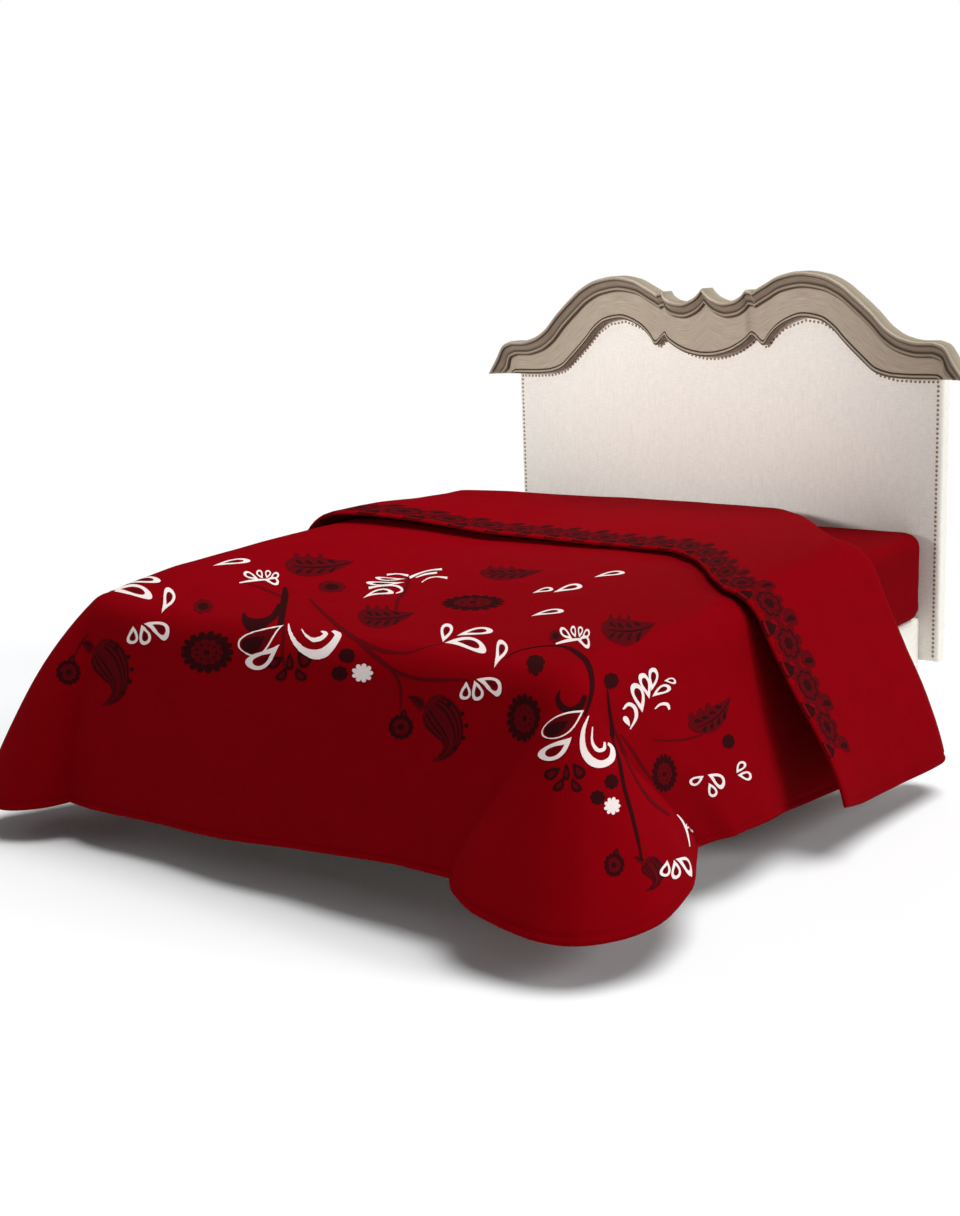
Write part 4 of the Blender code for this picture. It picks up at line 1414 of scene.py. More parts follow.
def brushed_cotton(name, rgb, dark_share, nap, coordinates):
    """Brushed cotton, woven and raised: matt, softly mottled, with a faint nap at its rims."""
    tree, surface, material = new_material(name, {
        "Roughness": 0.95, "Sheen Weight": 0.035, "Sheen Roughness": 0.5,
        "Specular IOR Level": 0.02})
    surface.inputs["Sheen Tint"].default_value = colour(rgb)
    place = node(tree, "ShaderNodeTexCoord").outputs[coordinates]
    mottle = node(tree, "ShaderNodeTexNoise", {"noise_dimensions": "3D"},
                  {"Vector": place, "Scale": 1.0 / COTTON_MOTTLE, "Detail": 4.0,
                   "Roughness": 0.6})
    mixed = node(tree, "ShaderNodeMix", {"data_type": "RGBA"},
                 {"Factor": mottle.outputs["Fac"], FIRST: colour(shaded(rgb, dark_share)),
                  SECOND: colour(rgb)})
    tree.links.new(mixed.outputs[RESULT], surface.inputs["Base Color"])
    weave = node(tree, "ShaderNodeTexVoronoi", {"distance": "CHEBYCHEV"},
                 {"Vector": place, "Scale": 1.0 / COTTON_THREAD, "Randomness": 0.35})
    fibres = node(tree, "ShaderNodeTexNoise", {},
                  {"Vector": place, "Scale": 1.0 / COTTON_NAP, "Detail": 5.0, "Roughness": 0.7})
    threads = node(tree, "ShaderNodeBump", {}, {"Strength": nap, "Distance": 0.0005,
                                                "Height": weave.outputs["Distance"]})
    raised = node(tree, "ShaderNodeBump", {}, {"Strength": nap, "Distance": 0.0012,
                                               "Height": fibres.outputs["Fac"],
                                               "Normal": threads.outputs["Normal"]})
    tree.links.new(raised.outputs["Normal"], surface.inputs["Normal"])
    return material


def woven_linen(rgb):
    """Linen, woven of uneven yarn: matt ivory with slubs that run along both yarns."""
    tree, surface, material = new_material("ivory_woven_linen", {
        "Roughness": 0.92, "Sheen Weight": 0.12, "Specular IOR Level": 0.2})
    place = node(tree, "ShaderNodeTexCoord").outputs["Object"]
    yarn, slub = 1.0 / LINEN_YARN, 1.0 / LINEN_SLUB
    along = node(tree, "ShaderNodeMapping", {}, {"Vector": place, "Scale": (slub, slub, yarn)})
    up = node(tree, "ShaderNodeMapping", {}, {"Vector": place, "Scale": (yarn, yarn, slub)})
    weft = node(tree, "ShaderNodeTexNoise", {}, {"Vector": along.outputs["Vector"], "Scale": 1.0,
                                                 "Detail": 3.0})
    warp = node(tree, "ShaderNodeTexNoise", {}, {"Vector": up.outputs["Vector"], "Scale": 1.0,
                                                 "Detail": 3.0})
    slubs = node(tree, "ShaderNodeMath", {"operation": "MULTIPLY"},
                 {0: weft.outputs["Fac"], 1: warp.outputs["Fac"]})
    shade = node(tree, "ShaderNodeMapRange", {}, {"Value": slubs.outputs[0], "From Min": 0.12,
                                                  "From Max": 0.38})
    mixed = node(tree, "ShaderNodeMix", {"data_type": "RGBA"},
                 {"Factor": shade.outputs[0], FIRST: colour(shaded(rgb, 0.87)),
                  SECOND: colour(rgb)})
    tree.links.new(mixed.outputs[RESULT], surface.inputs["Base Color"])
    bump = node(tree, "ShaderNodeBump", {}, {"Strength": 0.5, "Distance": 0.0006,
                                             "Height": slubs.outputs[0]})
    tree.links.new(bump.outputs["Normal"], surface.inputs["Normal"])
    return material


def glazed_driftwood(name, coordinates):
    """Limed hardwood: pale grey brown, satin, with dark glazing and painted shade in its carving.
    """
    tree, surface, material = new_material(name, {"Roughness": 0.55, "Specular IOR Level": 0.4})
    place = node(tree, "ShaderNodeTexCoord").outputs[coordinates]
    width = 1.0 / GRAIN_WIDTH
    stretched = node(tree, "ShaderNodeMapping", {},
                     {"Vector": place, "Scale": (1.0 / GRAIN_LENGTH, width, width)})
    grain = node(tree, "ShaderNodeTexNoise", {}, {"Vector": stretched.outputs["Vector"],
                                                  "Scale": 1.0, "Detail": 6.0, "Roughness": 0.65})
    tones = node(tree, "ShaderNodeValToRGB", {}, {"Fac": grain.outputs["Fac"]})
    ramp = tones.color_ramp
    ramp.elements[0].position, ramp.elements[0].color = 0.30, colour(linear("#95866f"))
    ramp.elements[1].position, ramp.elements[1].color = 0.70, colour(linear("#bdb09d"))
    middle = ramp.elements.new(0.5)
    middle.color = colour(linear("#a99c89"))
    # Each point's dark glazing, which also paints the shade in the carving, mixed into the wood.
    glaze = node(tree, "ShaderNodeAttribute", {"attribute_name": "glaze"})
    mixed = node(tree, "ShaderNodeMix", {"data_type": "RGBA"},
                 {"Factor": glaze.outputs["Fac"], FIRST: tones.outputs["Color"],
                  SECOND: colour(linear("#362413"))})
    tree.links.new(mixed.outputs[RESULT], surface.inputs["Base Color"])
    bump = node(tree, "ShaderNodeBump", {}, {"Strength": 0.35, "Distance": 0.0008,
                                             "Height": grain.outputs["Fac"]})
    tree.links.new(bump.outputs["Normal"], surface.inputs["Normal"])
    return material


def stained_beech():
    """Turned beech with a dark stain: near black brown, with a low satin shine."""
    tree, surface, material = new_material("dark_stained_beech", {"Roughness": 0.42})
    place = node(tree, "ShaderNodeTexCoord").outputs["Object"]
    pore = 1.0 / BEECH_PORE
    stretched = node(tree, "ShaderNodeMapping", {},
                     {"Vector": place, "Scale": (pore, pore, 1.0 / BEECH_GRAIN)})
    grain = node(tree, "ShaderNodeTexNoise", {}, {"Vector": stretched.outputs["Vector"],
                                                  "Scale": 1.0, "Detail": 5.0})
    mixed = node(tree, "ShaderNodeMix", {"data_type": "RGBA"},
                 {"Factor": grain.outputs["Fac"], FIRST: colour(linear("#1c120c")),
                  SECOND: colour(linear("#4a3222"))})
    tree.links.new(mixed.outputs[RESULT], surface.inputs["Base Color"])
    return material


def aged_brass():
    """Brass with a brown patina: a dull warm metal that shines on its domes."""
    tree, surface, material = new_material("aged_brass", {"Metallic": 1.0, "Roughness": 0.38})
    place = node(tree, "ShaderNodeTexCoord").outputs["Object"]
    spots = node(tree, "ShaderNodeTexNoise", {},
                 {"Vector": place, "Scale": 1.0 / PATINA_SPOT, "Detail": 3.0})
    mixed = node(tree, "ShaderNodeMix", {"data_type": "RGBA"},
                 {"Factor": spots.outputs["Fac"], FIRST: colour(linear("#7a6548")),
                  SECOND: colour(linear("#a89272"))})
    tree.links.new(mixed.outputs[RESULT], surface.inputs["Base Color"])
    return material


def studio_paper(rgb):
    """A roll of matt paper: pale and even."""
    tree, surface, material = new_material("pale_studio_paper", {"Roughness": 0.95,
                                                                 "Specular IOR Level": 0.1})
    place = node(tree, "ShaderNodeTexCoord").outputs["Object"]
    fibres = node(tree, "ShaderNodeTexNoise", {},
                  {"Vector": place, "Scale": 1.0 / PAPER_CLOUD, "Detail": 2.0})
    mixed = node(tree, "ShaderNodeMix", {"data_type": "RGBA"},
                 {"Factor": fibres.outputs["Fac"], FIRST: colour(shaded(rgb, 0.985)),
                  SECOND: colour(rgb)})
    tree.links.new(mixed.outputs[RESULT], surface.inputs["Base Color"])
    return material


def dress(item, material):
    item.data.materials.clear()
    item.data.materials.append(material)


def repaint(name, material):
    """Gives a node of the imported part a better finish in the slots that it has."""
    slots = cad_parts[name].data.materials
    for index in range(len(slots)):
        slots[index] = material


# The bed's own pieces

def rounded_outline(inset):
    """Points round the mattress, inset from its side, and how near each is to a corner."""
    half_x, half_y = MATTRESS_WIDTH / 2 - inset, MATTRESS_LENGTH / 2 - inset
    radius = max(MATTRESS_CORNER - inset, SHEET_CORNER_LEAST)
    points = []
    for sign_x, sign_y, start in ((1, 1, 0.0), (-1, 1, 90.0), (-1, -1, 180.0), (1, -1, 270.0)):
        centre = Vector((sign_x * (half_x - radius), sign_y * (half_y - radius)))
        for step in range(SHEET_CORNER_POINTS):
            angle = radians(start + 90.0 * step / (SHEET_CORNER_POINTS - 1))
            points.append(centre + Vector((cos(angle), sin(angle))) * radius)
    rounded = []
    for index, point in enumerate(points):
        rounded.append(point)
        after = points[(index + 1) % len(points)]
        if (index + 1) % SHEET_CORNER_POINTS == 0:
            rounded += [point.lerp(after, step / SHEET_SIDE_POINTS)
                        for step in range(1, SHEET_SIDE_POINTS)]
    return rounded


def sheet_rows():
    """Inset and height of every ring of the sheet, from its tuck below to its middle on top."""
    turns = [0.5 * pi * step / SHEET_BEND_ROWS for step in range(SHEET_BEND_ROWS + 1)]
    rise = [MATTRESS_EDGE * (1.0 - cos(angle)) for angle in turns]
    fade = [MATTRESS_EDGE * (1.0 - sin(angle)) for angle in turns]
    low, high = MATTRESS_BOTTOM + MATTRESS_EDGE, MATTRESS_TOP - MATTRESS_EDGE
    last = MATTRESS_WIDTH / 2 - SHEET_MIDDLE
    rows = [(SHEET_UNDER, MATTRESS_BOTTOM), (SHEET_TUCK, MATTRESS_BOTTOM)]
    rows += [(inset, MATTRESS_BOTTOM + up) for inset, up in zip(fade, rise)]
    rows += [(0.0, lerp(low, high, step / SHEET_WALL_ROWS)) for step in range(1, SHEET_WALL_ROWS)]
    rows += [(inset, MATTRESS_TOP - down) for inset, down in zip(rise, fade)]
    rows += [(lerp(MATTRESS_EDGE, last, step / SHEET_RINGS), MATTRESS_TOP)
             for step in range(1, SHEET_RINGS + 1)]
    return rows


def sheet_pull(point, height):
    """How far the fitted sheet is drawn in at a place of its wall: creases near its corners."""
    to_corner = hypot(MATTRESS_WIDTH / 2 - abs(point.x), MATTRESS_LENGTH / 2 - abs(point.y))
    low = 1.0 - ease((height - MATTRESS_BOTTOM) / (PUCKER_RISE * MATTRESS_THICKNESS))
    near = 1.0 - ease(to_corner / PUCKER_REACH)
    run = abs(point.x) - abs(point.y) + PUCKER_SLANT * (height - MATTRESS_BOTTOM)
    crease = 0.5 + 0.5 * sin(2.0 * pi * run / PUCKER_LENGTH)
    loose = 0.5 + 0.5 * noise.noise(Vector((point.x, point.y, height)) * Vector(LOOSE_SCALES))
    return PUCKER * near * low * crease + SHEET_LOOSE * loose


def fitted_sheet_mesh():
    """The sheet as rings round the mattress, closed on top and below."""
    mesh = bpy.data.meshes.new("fitted_sheet")
    points, faces = [], []
    rows = sheet_rows()
    for inset, height in rows:
        for spot in rounded_outline(inset):
            drawn = sheet_pull(spot, height) if height > MATTRESS_BOTTOM else 0.0
            if inset < MATTRESS_EDGE:
                points.append(Vector((*(spot * (1.0 - drawn / spot.length)), height)))
            else:
                points.append(Vector((*spot, height - drawn)))
    count = len(rounded_outline(0.0))
    for row in range(len(rows) - 1):
        for index in range(count):
            after = (index + 1) % count
            faces.append((row * count + index, row * count + after,
                          (row + 1) * count + after, (row + 1) * count + index))
    faces.append(tuple(range(count))[::-1])
    faces.append(tuple(range((len(rows) - 1) * count, len(rows) * count)))
    mesh.from_pydata(points, [], faces)
    return mesh


def rail_sections(rows, steps):
    """Sections of the rail between its table's rows, on smooth curves. rows run outward."""
    numbered = tuple(NumberedSection(i, *row) for i, row in enumerate(rows))
    count = (len(rows) - 1) * steps
    return [read_table(numbered, step / steps) for step in range(count + 1)]


def moulded_loop(section, proud):
    """The outline of one section of the rail, from the back of its top round to its underside."""
    back = PANEL_FRONT - GAP
    top = Vector((section.top_x, 0.0, section.top))
    under = Vector((section.under_x, 0.0, section.under))
    height = (under - top).length
    loop, glaze = [Vector((top.x, back, top.z))], [BACK_GLAZE_AND_SHADE_TOP]
    for step in RAIL_MOULDING:
        at_end = step.down < 0.0 or step is RAIL_MOULDING[-1]
        down = step.down + height if at_end else step.down
        point = top.lerp(under, down / height)
        loop.append(Vector((point.x, back - step.depth - proud, point.z)))
        glaze.append(step.glaze)
    loop.append(Vector((under.x, back, under.z)))
    glaze.append(BACK_GLAZE_AND_SHADE_UNDER)
    return loop, glaze


def rail_run(sections):
    """The distance along the rail at each section."""
    run = [0.0]
    for here, after in zip(sections, sections[1:]):
        run.append(run[-1] + hypot(after.top_x - here.top_x, after.top - here.top))
    return run


def loop_run(loop):
    """The distance round a section's outline at each of its points, and back to the first."""
    run = [0.0]
    for here, after in zip(loop, loop[1:] + loop[:1]):
        run.append(run[-1] + (after - here).length)
    return run


def carve_rail(name, sections, proud):
    """A length of moulded rail: a grid whose rows take the moulding's outline, welded shut."""
    runs = rail_run(sections)
    stand = [proud * ease(min(run, runs[-1] - run) / PROUD_REACH) for run in runs]
    loops, glaze_and_shade_loops = zip(*map(moulded_loop, sections, stand))
    size = len(loops[0])
    bpy.ops.object.select_all(action="DESELECT")
    bpy.ops.mesh.primitive_grid_add(x_subdivisions=len(sections) - 1, y_subdivisions=size,
                                    size=1.0)
    rail = bpy.context.object
    rail.name = rail.data.name = name
    mesh = rail.data
    while mesh.uv_layers:
        mesh.uv_layers.remove(mesh.uv_layers[0])
    # Each point's dark glazing, which also paints the shade in the grooves and under the rail.
    glaze = mesh.attributes.new("glaze", "FLOAT", "POINT")
    rounds = [loop_run(loop) for loop in loops]
    flats = []
    for vert in mesh.vertices:
        section = round((vert.co.x + 0.5) * (len(sections) - 1))
        step = round((vert.co.y + 0.5) * size)
        place = step % size
        vert.co = loops[section][place]
        at_end = section in (0, len(sections) - 1)
        glaze.data[vert.index].value = glaze_and_shade_loops[section][place] * (END_GLAZE_AND_SHADE if at_end else 1.0)
        flats.append((runs[section], rounds[section][step]))
    give_flat_map(mesh, "grain", flats)
    select_only(rail)
    bpy.ops.object.mode_set(mode="EDIT")
    bpy.ops.mesh.select_all(action="SELECT")
    bpy.ops.mesh.remove_doubles(threshold=WELD)
    bpy.ops.mesh.select_all(action="SELECT")
    bpy.ops.mesh.fill_holes(sides=0)
    bpy.ops.mesh.select_all(action="SELECT")
    bpy.ops.mesh.normals_make_consistent(inside=False)
    bpy.ops.object.mode_set(mode="OBJECT")
    bpy.ops.object.shade_smooth_by_angle(angle=RAIL_SMOOTHING)
    return rail


def mirror_copy(item, name):
    """A copy of a piece on the bed's other side, with its own mesh."""
    select_only(item)
    bpy.ops.object.duplicate()
    copy = bpy.context.object
    copy.name = copy.data.name = name
    bpy.ops.object.mode_set(mode="EDIT")
    bpy.ops.mesh.select_all(action="SELECT")
    bpy.ops.transform.resize(value=(-1.0, 1.0, 1.0), center_override=(0.0, 0.0, 0.0))
    bpy.ops.mesh.normals_make_consistent(inside=False)
    bpy.ops.object.mode_set(mode="OBJECT")
    return copy


def panel_outline():
    """The panel's outline from the front, counter-clockwise from the middle of its top."""
    middle = smooth_line([Bend(0.5 * (row.top_x + row.under_x), 0.5 * (row.top + row.under), 0.0)
                          for row in BLOCK[::3] + ARCH[1:-1]], PANEL_TOP_STEPS)
    right = [(across, up) for across, up, _ in middle if across < PANEL_SIDE]
    right += [(PANEL_SIDE, right[-1][1]), (PANEL_SIDE, PANEL_BOTTOM)]
    left = [(-across, up) for across, up in reversed(right) if across > 0.0]
    return [Vector(spot) for spot in right + left]


def inset_outline(outline, inset):
    """The outline moved inward, with its corners kept sharp."""
    moved = []
    for index, spot in enumerate(outline):
        before, after = outline[index - 1], outline[(index + 1) % len(outline)]
        into = (spot - before).normalized()
        away = (after - spot).normalized()
        inward = Vector((into.y, -into.x)) + Vector((away.y, -away.x))
        reach = inset / max(inward.length / 2.0, CORNER_LEAST)
        moved.append(spot + inward.normalized() * reach)
    return moved


def under_edge(across):
    """The height of the carved rail's lower edge at a place across the headboard."""
    rows = [(row.under_x, row.under) for row in BLOCK + ARCH[1:]]
    place = min(abs(across), rows[-1][0])
    for here, after in zip(rows, rows[1:]):
        if place <= after[0]:
            return lerp(here[1], after[1], (place - here[0]) / (after[0] - here[0]))
    return rows[-1][1]


def panel_front(across, up, crown):
    """Where the padded front lies: flat behind the rail, swelling below it."""
    near = min(under_edge(across) - up, PANEL_SIDE - abs(across), up - PANEL_BOTTOM)
    return PANEL_FRONT - crown * ease(near / CROWN_REACH) ** CROWN_FULLNESS


def panel_mesh(crown):
    """The covered panel: its front as a fine net, its edge in rounded steps, its back flat."""
    corners = panel_outline()
    outline = []
    for here, after in zip(corners, corners[1:] + corners[:1]):
        parts = max(1, round((after - here).length / PANEL_GRID))
        outline += [here.lerp(after, part / parts) for part in range(parts)]
    front = inset_outline(outline, PANEL_ROUND)
    spots = list(front)
    edges = [(index, (index + 1) % len(front)) for index in range(len(front))]
    columns = ceil(PANEL_SIDE / PANEL_GRID)
    rows = ceil((max(spot.y for spot in front) - PANEL_BOTTOM) / PANEL_GRID)
    for column in range(-columns, columns + 1):
        for row in range(rows):
            spot = Vector((column * PANEL_GRID, PANEL_BOTTOM + row * PANEL_GRID))
            if inside(spot, [front]) and all((spot - s).length > 0.6 * PANEL_GRID for s in front):
                spots.append(spot)
    flat, _, faces, *_ = delaunay_2d_cdt(spots, edges, [], 1, SAME_SPOT)
    shape = bmesh.new()
    verts = [shape.verts.new((spot.x, panel_front(spot.x, spot.y, crown), spot.y))
             for spot in flat]
    for face in faces:
        shape.faces.new([verts[index] for index in face])
    ring = verts[:len(front)]
    back = PANEL_FRONT + PANEL_THICKNESS
    levels = []
    for step in range(1, PANEL_ROUND_STEPS + 1):
        angle = 0.5 * pi * step / PANEL_ROUND_STEPS
        levels.append((PANEL_ROUND * (1.0 - sin(angle)),
                       PANEL_FRONT + PANEL_ROUND * (1.0 - cos(angle))))
    levels += [(0.0, back - PANEL_ROUND / 2), (PANEL_ROUND / 2, back)]
    for inset, depth in levels:
        after = [shape.verts.new((spot.x, depth, spot.y))
                 for spot in inset_outline(outline, inset)]
        for index in range(len(ring)):
            following = (index + 1) % len(ring)
            shape.faces.new((ring[index], ring[following], after[following], after[index]))
        ring = after
    shape.faces.new(ring)
    bmesh.ops.recalc_face_normals(shape, faces=shape.faces)
    mesh = bpy.data.meshes.new("panel_cover")
    shape.to_mesh(mesh)
    shape.free()
    return mesh


def nail_line():
    """The line that the nail heads follow: down the left side, under the rail, down the right."""
    side = PANEL_SIDE - NAIL_INSET - NAIL_FROM_ROUND
    rows = [(row.under_x, row.under - NAIL_INSET) for row in BLOCK + ARCH[1:]
            if row.under_x < side - NAIL_TURN]
    half = rows + [(side, rows[-1][1]), (side, PANEL_BOTTOM + NAIL_START)]
    return [Vector((-across, up)) for across, up in half[:0:-1]] + [Vector(spot) for spot in half]


def spaced(line, spacing):
    """Places along a line at one spacing."""
    places, carried = [], 0.0
    for here, after in zip(line, line[1:]):
        length = (after - here).length
        at = spacing - carried if places else 0.0
        while at <= length:
            places.append(here.lerp(after, at / length))
            at += spacing
        carried = length - (at - spacing)
    return places


def nail_head(radius):
    """One domed nail head, facing the foot of the bed."""
    bpy.ops.object.select_all(action="DESELECT")
    bpy.ops.mesh.primitive_uv_sphere_add(segments=10, ring_count=6, radius=radius)
    nail = bpy.context.object
    bpy.ops.object.mode_set(mode="EDIT")
    bpy.ops.mesh.select_all(action="SELECT")
    bpy.ops.mesh.bisect(plane_co=(0.0, 0.0, 0.0), plane_no=(0.0, 0.0, 1.0), clear_inner=True,
                        use_fill=True)
    bpy.ops.mesh.select_all(action="SELECT")
    bpy.ops.transform.resize(value=(1.0, 1.0, NAIL_FLATNESS), center_override=(0.0, 0.0, 0.0))
    bpy.ops.mesh.normals_make_consistent(inside=False)
    bpy.ops.object.mode_set(mode="OBJECT")
    nail.data.transform(Matrix.Rotation(radians(90), 4, "X"))
    bpy.ops.object.shade_smooth_by_angle(angle=NAIL_SMOOTHING)
    return nail


# The operators

class PieceOperator:
    """What the operators share: they are registered and can be undone."""

    bl_options = {"REGISTER", "UNDO"}


class QUILT_OT_drape(PieceOperator, bpy.types.Operator):
    """Drape the quilt's one cut of cloth over the bed and fold its head end back"""

    bl_idname = "quilt.drape"
    bl_label = "Drape the quilt"

    def execute(self, context):
        settings = context.scene.quilt_settings
        cloth = quilt_sheet()
        mesh = bpy.data.meshes.new("printed_quilt")
        mesh.from_pydata(cloth.points, [], cloth.faces)
        raise_ripples(mesh, cloth.flats, settings.ripple_height, settings.ripple_length)
        give_flat_map(mesh, "cloth", cloth.flats)
        quilt = link_object("printed_quilt", mesh)
        group = quilt.vertex_groups.new(name=CLOTH_GROUP)
        for index, from_hem in enumerate(cloth.hems):
            group.add([index], hem_weight(from_hem), "REPLACE")
        wadding = quilt.modifiers.new("wadding", "SOLIDIFY")
        wadding.thickness = QUILT_THICKNESS
        wadding.offset = 0.0
        wadding.use_even_offset = True
        wadding.vertex_group = CLOTH_GROUP
        apply_modifiers(quilt)
        quilt["sheet_faces"] = len(cloth.faces)
        quilt.data.shade_smooth()
        dress(quilt, brushed_cotton("red_brushed_cotton", settings.cloth_colour,
                                    dark_share=0.80, nap=0.5, coordinates="UV"))
        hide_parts("quilt")
        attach(quilt, "root")
        return {"FINISHED"}


class QUILT_OT_print(PieceOperator, bpy.types.Operator):
    """Print the drops, flowers, paisleys and stems on the quilt"""

    bl_idname = "quilt.print_motifs"
    bl_label = "Print the motifs"

    def execute(self, context):
        settings = context.scene.quilt_settings
        quilt = bpy.data.objects["printed_quilt"]
        lower, turned = printed_sides(quilt)
        inks = {name: Ink() for name in INK_LIFTS}
        places = list(PLACES)
        places += [mirrored(place) for place in PLACES
                   if place.across > MIRRORED_FROM and place.motif in LEFT_REPEATS]
        for place in places:
            for ink, rings in draw_motif(place.motif):
                inks[ink].print_shape([laid(ring, place) for ring in rings], cloth_point, lower,
                                      INK_LIFTS[ink])
        for ink, rows in STEMS:
            inks[ink].print_shape([stroke_ring(rows, steps=6)], cloth_point, lower, INK_LIFTS[ink])
        for place in border_places():
            for ink, rings in draw_motif(place.motif):
                inks[ink].print_shape([laid(ring, place) for ring in rings], turned_back_point,
                                      turned, INK_LIFTS[ink])
        for name, ink in inks.items():
            piece = ink.piece(f"print_{name}", settings.ink_thickness)
            dress(piece, brushed_cotton(f"{name}_printed_cotton", getattr(settings, name),
                                        dark_share=0.86, nap=0.4, coordinates="Object"))
            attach(piece, "root")
        return {"FINISHED"}


class QUILT_OT_fitted_sheet(PieceOperator, bpy.types.Operator):
    """Pull the fitted sheet over the mattress"""

    bl_idname = "quilt.fitted_sheet"
    bl_label = "Fit the sheet"

    def execute(self, context):
        settings = context.scene.bed_settings
        sheet = link_object("fitted_sheet", fitted_sheet_mesh())
        sheet.data.shade_smooth()
        dress(sheet, brushed_cotton("red_sheet_cotton", settings.sheet_colour,
                                    dark_share=0.85, nap=0.4, coordinates="Object"))
        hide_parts("mattress")
        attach(sheet, "root")
        return {"FINISHED"}


class QUILT_OT_panel(PieceOperator, bpy.types.Operator):
    """Cover the headboard's panel with linen"""

    bl_idname = "quilt.cover_panel"
    bl_label = "Cover the panel"

    def execute(self, context):
        settings = context.scene.bed_settings
        panel = link_object("panel_cover", panel_mesh(settings.crown))
        select_only(panel)
        bpy.ops.object.shade_smooth_by_angle(angle=PANEL_SMOOTHING)
        linen = woven_linen(settings.linen_colour)
        dress(panel, linen)
        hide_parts("headboard_panel")
        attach(panel, "root")
        repaint("base", linen)
        return {"FINISHED"}


class QUILT_OT_nails(PieceOperator, bpy.types.Operator):
    """Set the row of nail heads under the rail and down the panel's sides"""

    bl_idname = "quilt.set_nails"
    bl_label = "Set the nails"

    def execute(self, context):
        settings = context.scene.bed_settings
        pattern = nail_head(settings.nail_radius)
        nails = []
        for spot in spaced(nail_line(), settings.nail_spacing):
            nail = link_object("nail", pattern.data.copy())
            depth = panel_front(spot.x, spot.y, settings.crown) + NAIL_SEAT
            nail.data.transform(Matrix.Translation((spot.x, depth, spot.y)))
            nails.append(nail)
        bpy.data.objects.remove(pattern)
        select_only(nails[0])
        for nail in nails:
            nail.select_set(True)
        bpy.ops.object.join()
        row = bpy.context.object
        row.name = row.data.name = "nail_heads"
        dress(row, aged_brass())
        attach(row, "root")
        return {"FINISHED"}


class QUILT_OT_rails(PieceOperator, bpy.types.Operator):
    """Carve the headboard's rail: two arches and the block between them"""

    bl_idname = "quilt.carve_rails"
    bl_label = "Carve the rail"

    def execute(self, context):
        wood = glazed_driftwood("glazed_driftwood", "UV")
        arch = rail_sections(ARCH, RAIL_STEPS)
        arch += rail_sections(ARCH[-1:] + ARCH_END, RAIL_END_STEPS)[1:]
        right = carve_rail("carved_arch_right", arch, proud=0.0)
        left = mirror_copy(right, "carved_arch_left")
        half = rail_sections(BLOCK, RAIL_STEPS)
        other = [section._replace(top_x=-section.top_x, under_x=-section.under_x)
                 for section in half[:0:-1]]
        block = carve_rail("carved_block", other + half, proud=BLOCK_PROUD)
        for piece, cad in ((right, "rail_right"), (left, "rail_left"), (block, "rail_block")):
            dress(piece, wood)
            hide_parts(cad)
            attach(piece, "root")
        return {"FINISHED"}


class QUILT_OT_frame(PieceOperator, bpy.types.Operator):
    """Finish the uprights and legs of the bed in wood"""

    bl_idname = "quilt.finish_frame"
    bl_label = "Finish the frame"

    def execute(self, context):
        plain_wood = glazed_driftwood("limed_driftwood", "Object")
        for name in ("stile_left", "stile_right"):
            repaint(name, plain_wood)
        stained = stained_beech()
        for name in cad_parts:
            if name.startswith("leg_"):
                repaint(name, stained)
        return {"FINISHED"}


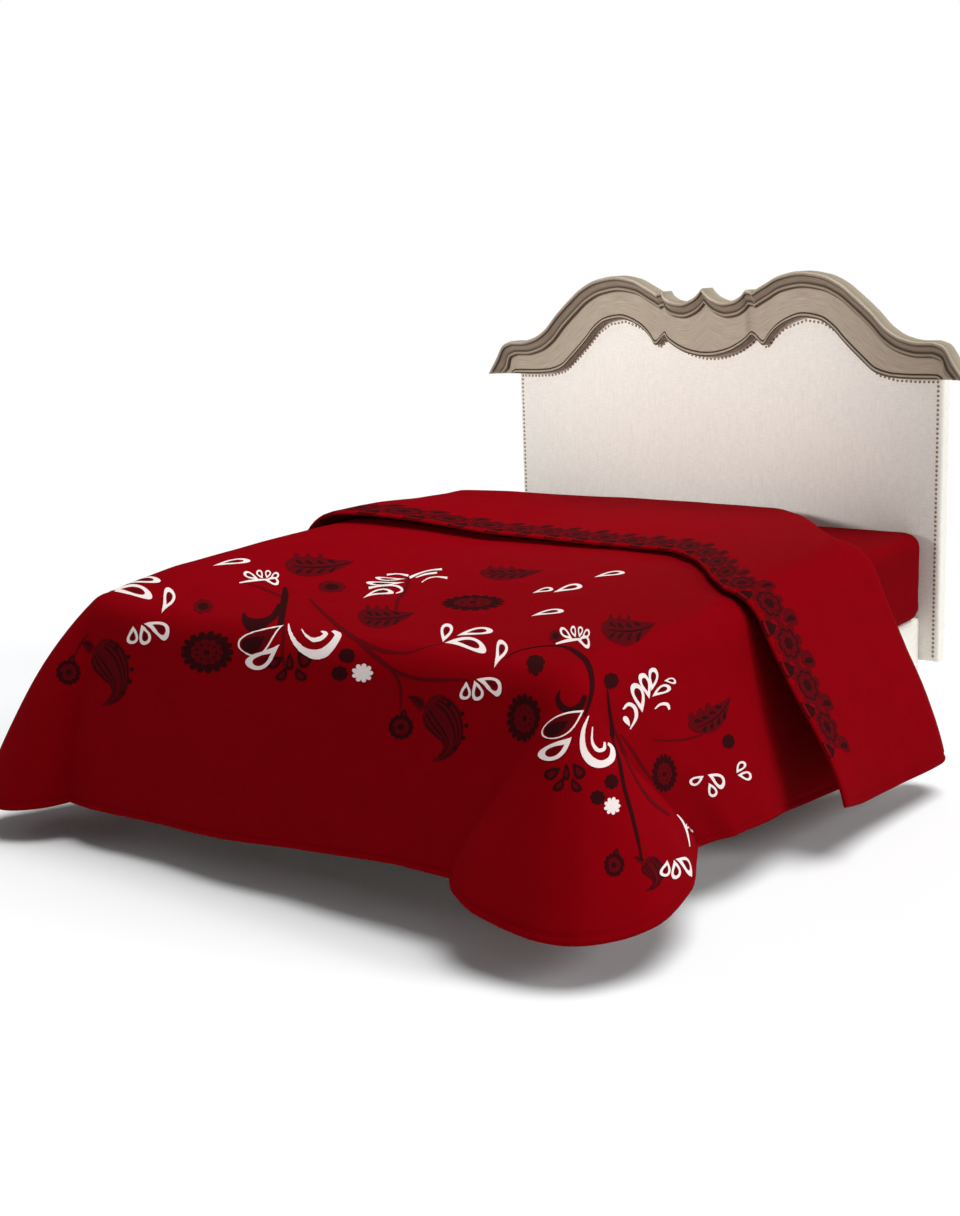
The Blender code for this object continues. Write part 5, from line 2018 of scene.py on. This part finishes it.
class QUILT_OT_studio(PieceOperator, bpy.types.Operator):
    """Set up the pale floor, the soft lights and the camera"""

    bl_idname = "quilt.studio"
    bl_label = "Set up the studio"

    def execute(self, context):
        settings = context.scene.studio_settings
        bpy.ops.object.select_all(action="DESELECT")
        bpy.ops.mesh.primitive_plane_add(size=settings.floor_size)
        floor_piece = bpy.context.object
        floor_piece.name = floor_piece.data.name = "studio_floor"
        dress(floor_piece, studio_paper(settings.floor_colour))
        world = bpy.data.worlds.new("soft_white_room")
        world.use_nodes = True
        tree = world.node_tree
        tree.nodes.clear()
        seen = node(tree, "ShaderNodeLightPath")
        strength = node(tree, "ShaderNodeMapRange", {}, {
            "Value": seen.outputs["Is Camera Ray"], "To Min": ROOM_LIGHT, "To Max": ROOM_WHITE})
        room = node(tree, "ShaderNodeBackground", {}, {"Color": ROOM_COLOUR,
                                                       "Strength": strength.outputs[0]})
        node(tree, "ShaderNodeOutputWorld", {}, {"Surface": room.outputs[0]})
        context.scene.world = world
        context.scene.view_settings.view_transform = "Standard"
        for lamp in SOFT_LIGHTS:
            data = bpy.data.lights.new(lamp.name, "SUN")
            data.energy, data.angle = lamp.strength, radians(lamp.softness)
            item = bpy.data.objects.new(lamp.name, data)
            context.scene.collection.objects.link(item)
            item.location = lamp.source
            item.rotation_euler = Vector(lamp.source).to_track_quat("Z", "Y").to_euler()
        self.add_spot(context)
        self.add_camera(context, settings)
        return {"FINISHED"}

    def add_spot(self, context):
        data = bpy.data.lights.new("headboard_spot", "SPOT")
        data.energy, data.spot_size, data.spot_blend = SPOT_POWER, SPOT_SPREAD, 1.0
        data.shadow_soft_size = SPOT_RADIUS
        item = bpy.data.objects.new("headboard_spot", data)
        context.scene.collection.objects.link(item)
        item.location = SPOT_PLACE
        aim = Vector(SPOT_PLACE) - Vector(SPOT_AIM)
        item.rotation_euler = aim.to_track_quat("Z", "Y").to_euler()

    def add_camera(self, context, settings):
        data = bpy.data.cameras.new("camera")
        data.sensor_fit = "VERTICAL"
        data.sensor_height = SENSOR_HEIGHT
        data.lens = settings.lens
        camera = bpy.data.objects.new("camera", data)
        context.scene.collection.objects.link(camera)
        pitch, roll, yaw = settings.camera_turn
        turn = (Matrix.Rotation(yaw, 4, "Z") @ Matrix.Rotation(pi / 2 + pitch, 4, "X")
                @ Matrix.Rotation(roll, 4, "Z"))
        camera.matrix_world = Matrix.Translation(settings.camera_place) @ turn
        context.scene.camera = camera


OPERATORS = (QUILT_OT_fitted_sheet, QUILT_OT_drape, QUILT_OT_print, QUILT_OT_panel, QUILT_OT_nails,
             QUILT_OT_rails, QUILT_OT_frame, QUILT_OT_studio)
GROUPS = {"quilt_settings": QuiltSettings, "bed_settings": BedSettings,
          "studio_settings": StudioSettings}


class QUILT_PT_panel(bpy.types.Panel):
    """Lists the sizes, the colours and the operators in the 3D view's sidebar"""

    bl_label = "Quilt on a bed"
    bl_idname = "QUILT_PT_panel"
    bl_space_type = "VIEW_3D"
    bl_region_type = "UI"
    bl_category = "Quilt"

    def draw(self, context):
        for group in GROUPS:
            box = self.layout.box()
            settings = getattr(context.scene, group)
            for prop in settings.bl_rna.properties:
                if not prop.is_readonly and prop.identifier != "name":
                    box.prop(settings, prop.identifier)
        for operator in OPERATORS:
            self.layout.operator(operator.bl_idname)


def register():
    for kind in (*GROUPS.values(), *OPERATORS, QUILT_PT_panel):
        bpy.utils.register_class(kind)
    for name, group in GROUPS.items():
        setattr(bpy.types.Scene, name, bpy.props.PointerProperty(type=group))


def unregister():
    for name in GROUPS:
        delattr(bpy.types.Scene, name)
    for kind in (QUILT_PT_panel, *reversed(OPERATORS), *GROUPS.values()):
        bpy.utils.unregister_class(kind)


def main():
    register()
    bpy.ops.quilt.fitted_sheet()
    bpy.ops.quilt.drape()
    bpy.ops.quilt.print_motifs()
    bpy.ops.quilt.cover_panel()
    bpy.ops.quilt.set_nails()
    bpy.ops.quilt.carve_rails()
    bpy.ops.quilt.finish_frame()
    bpy.ops.quilt.studio()


if __name__ == "__main__":
    main()
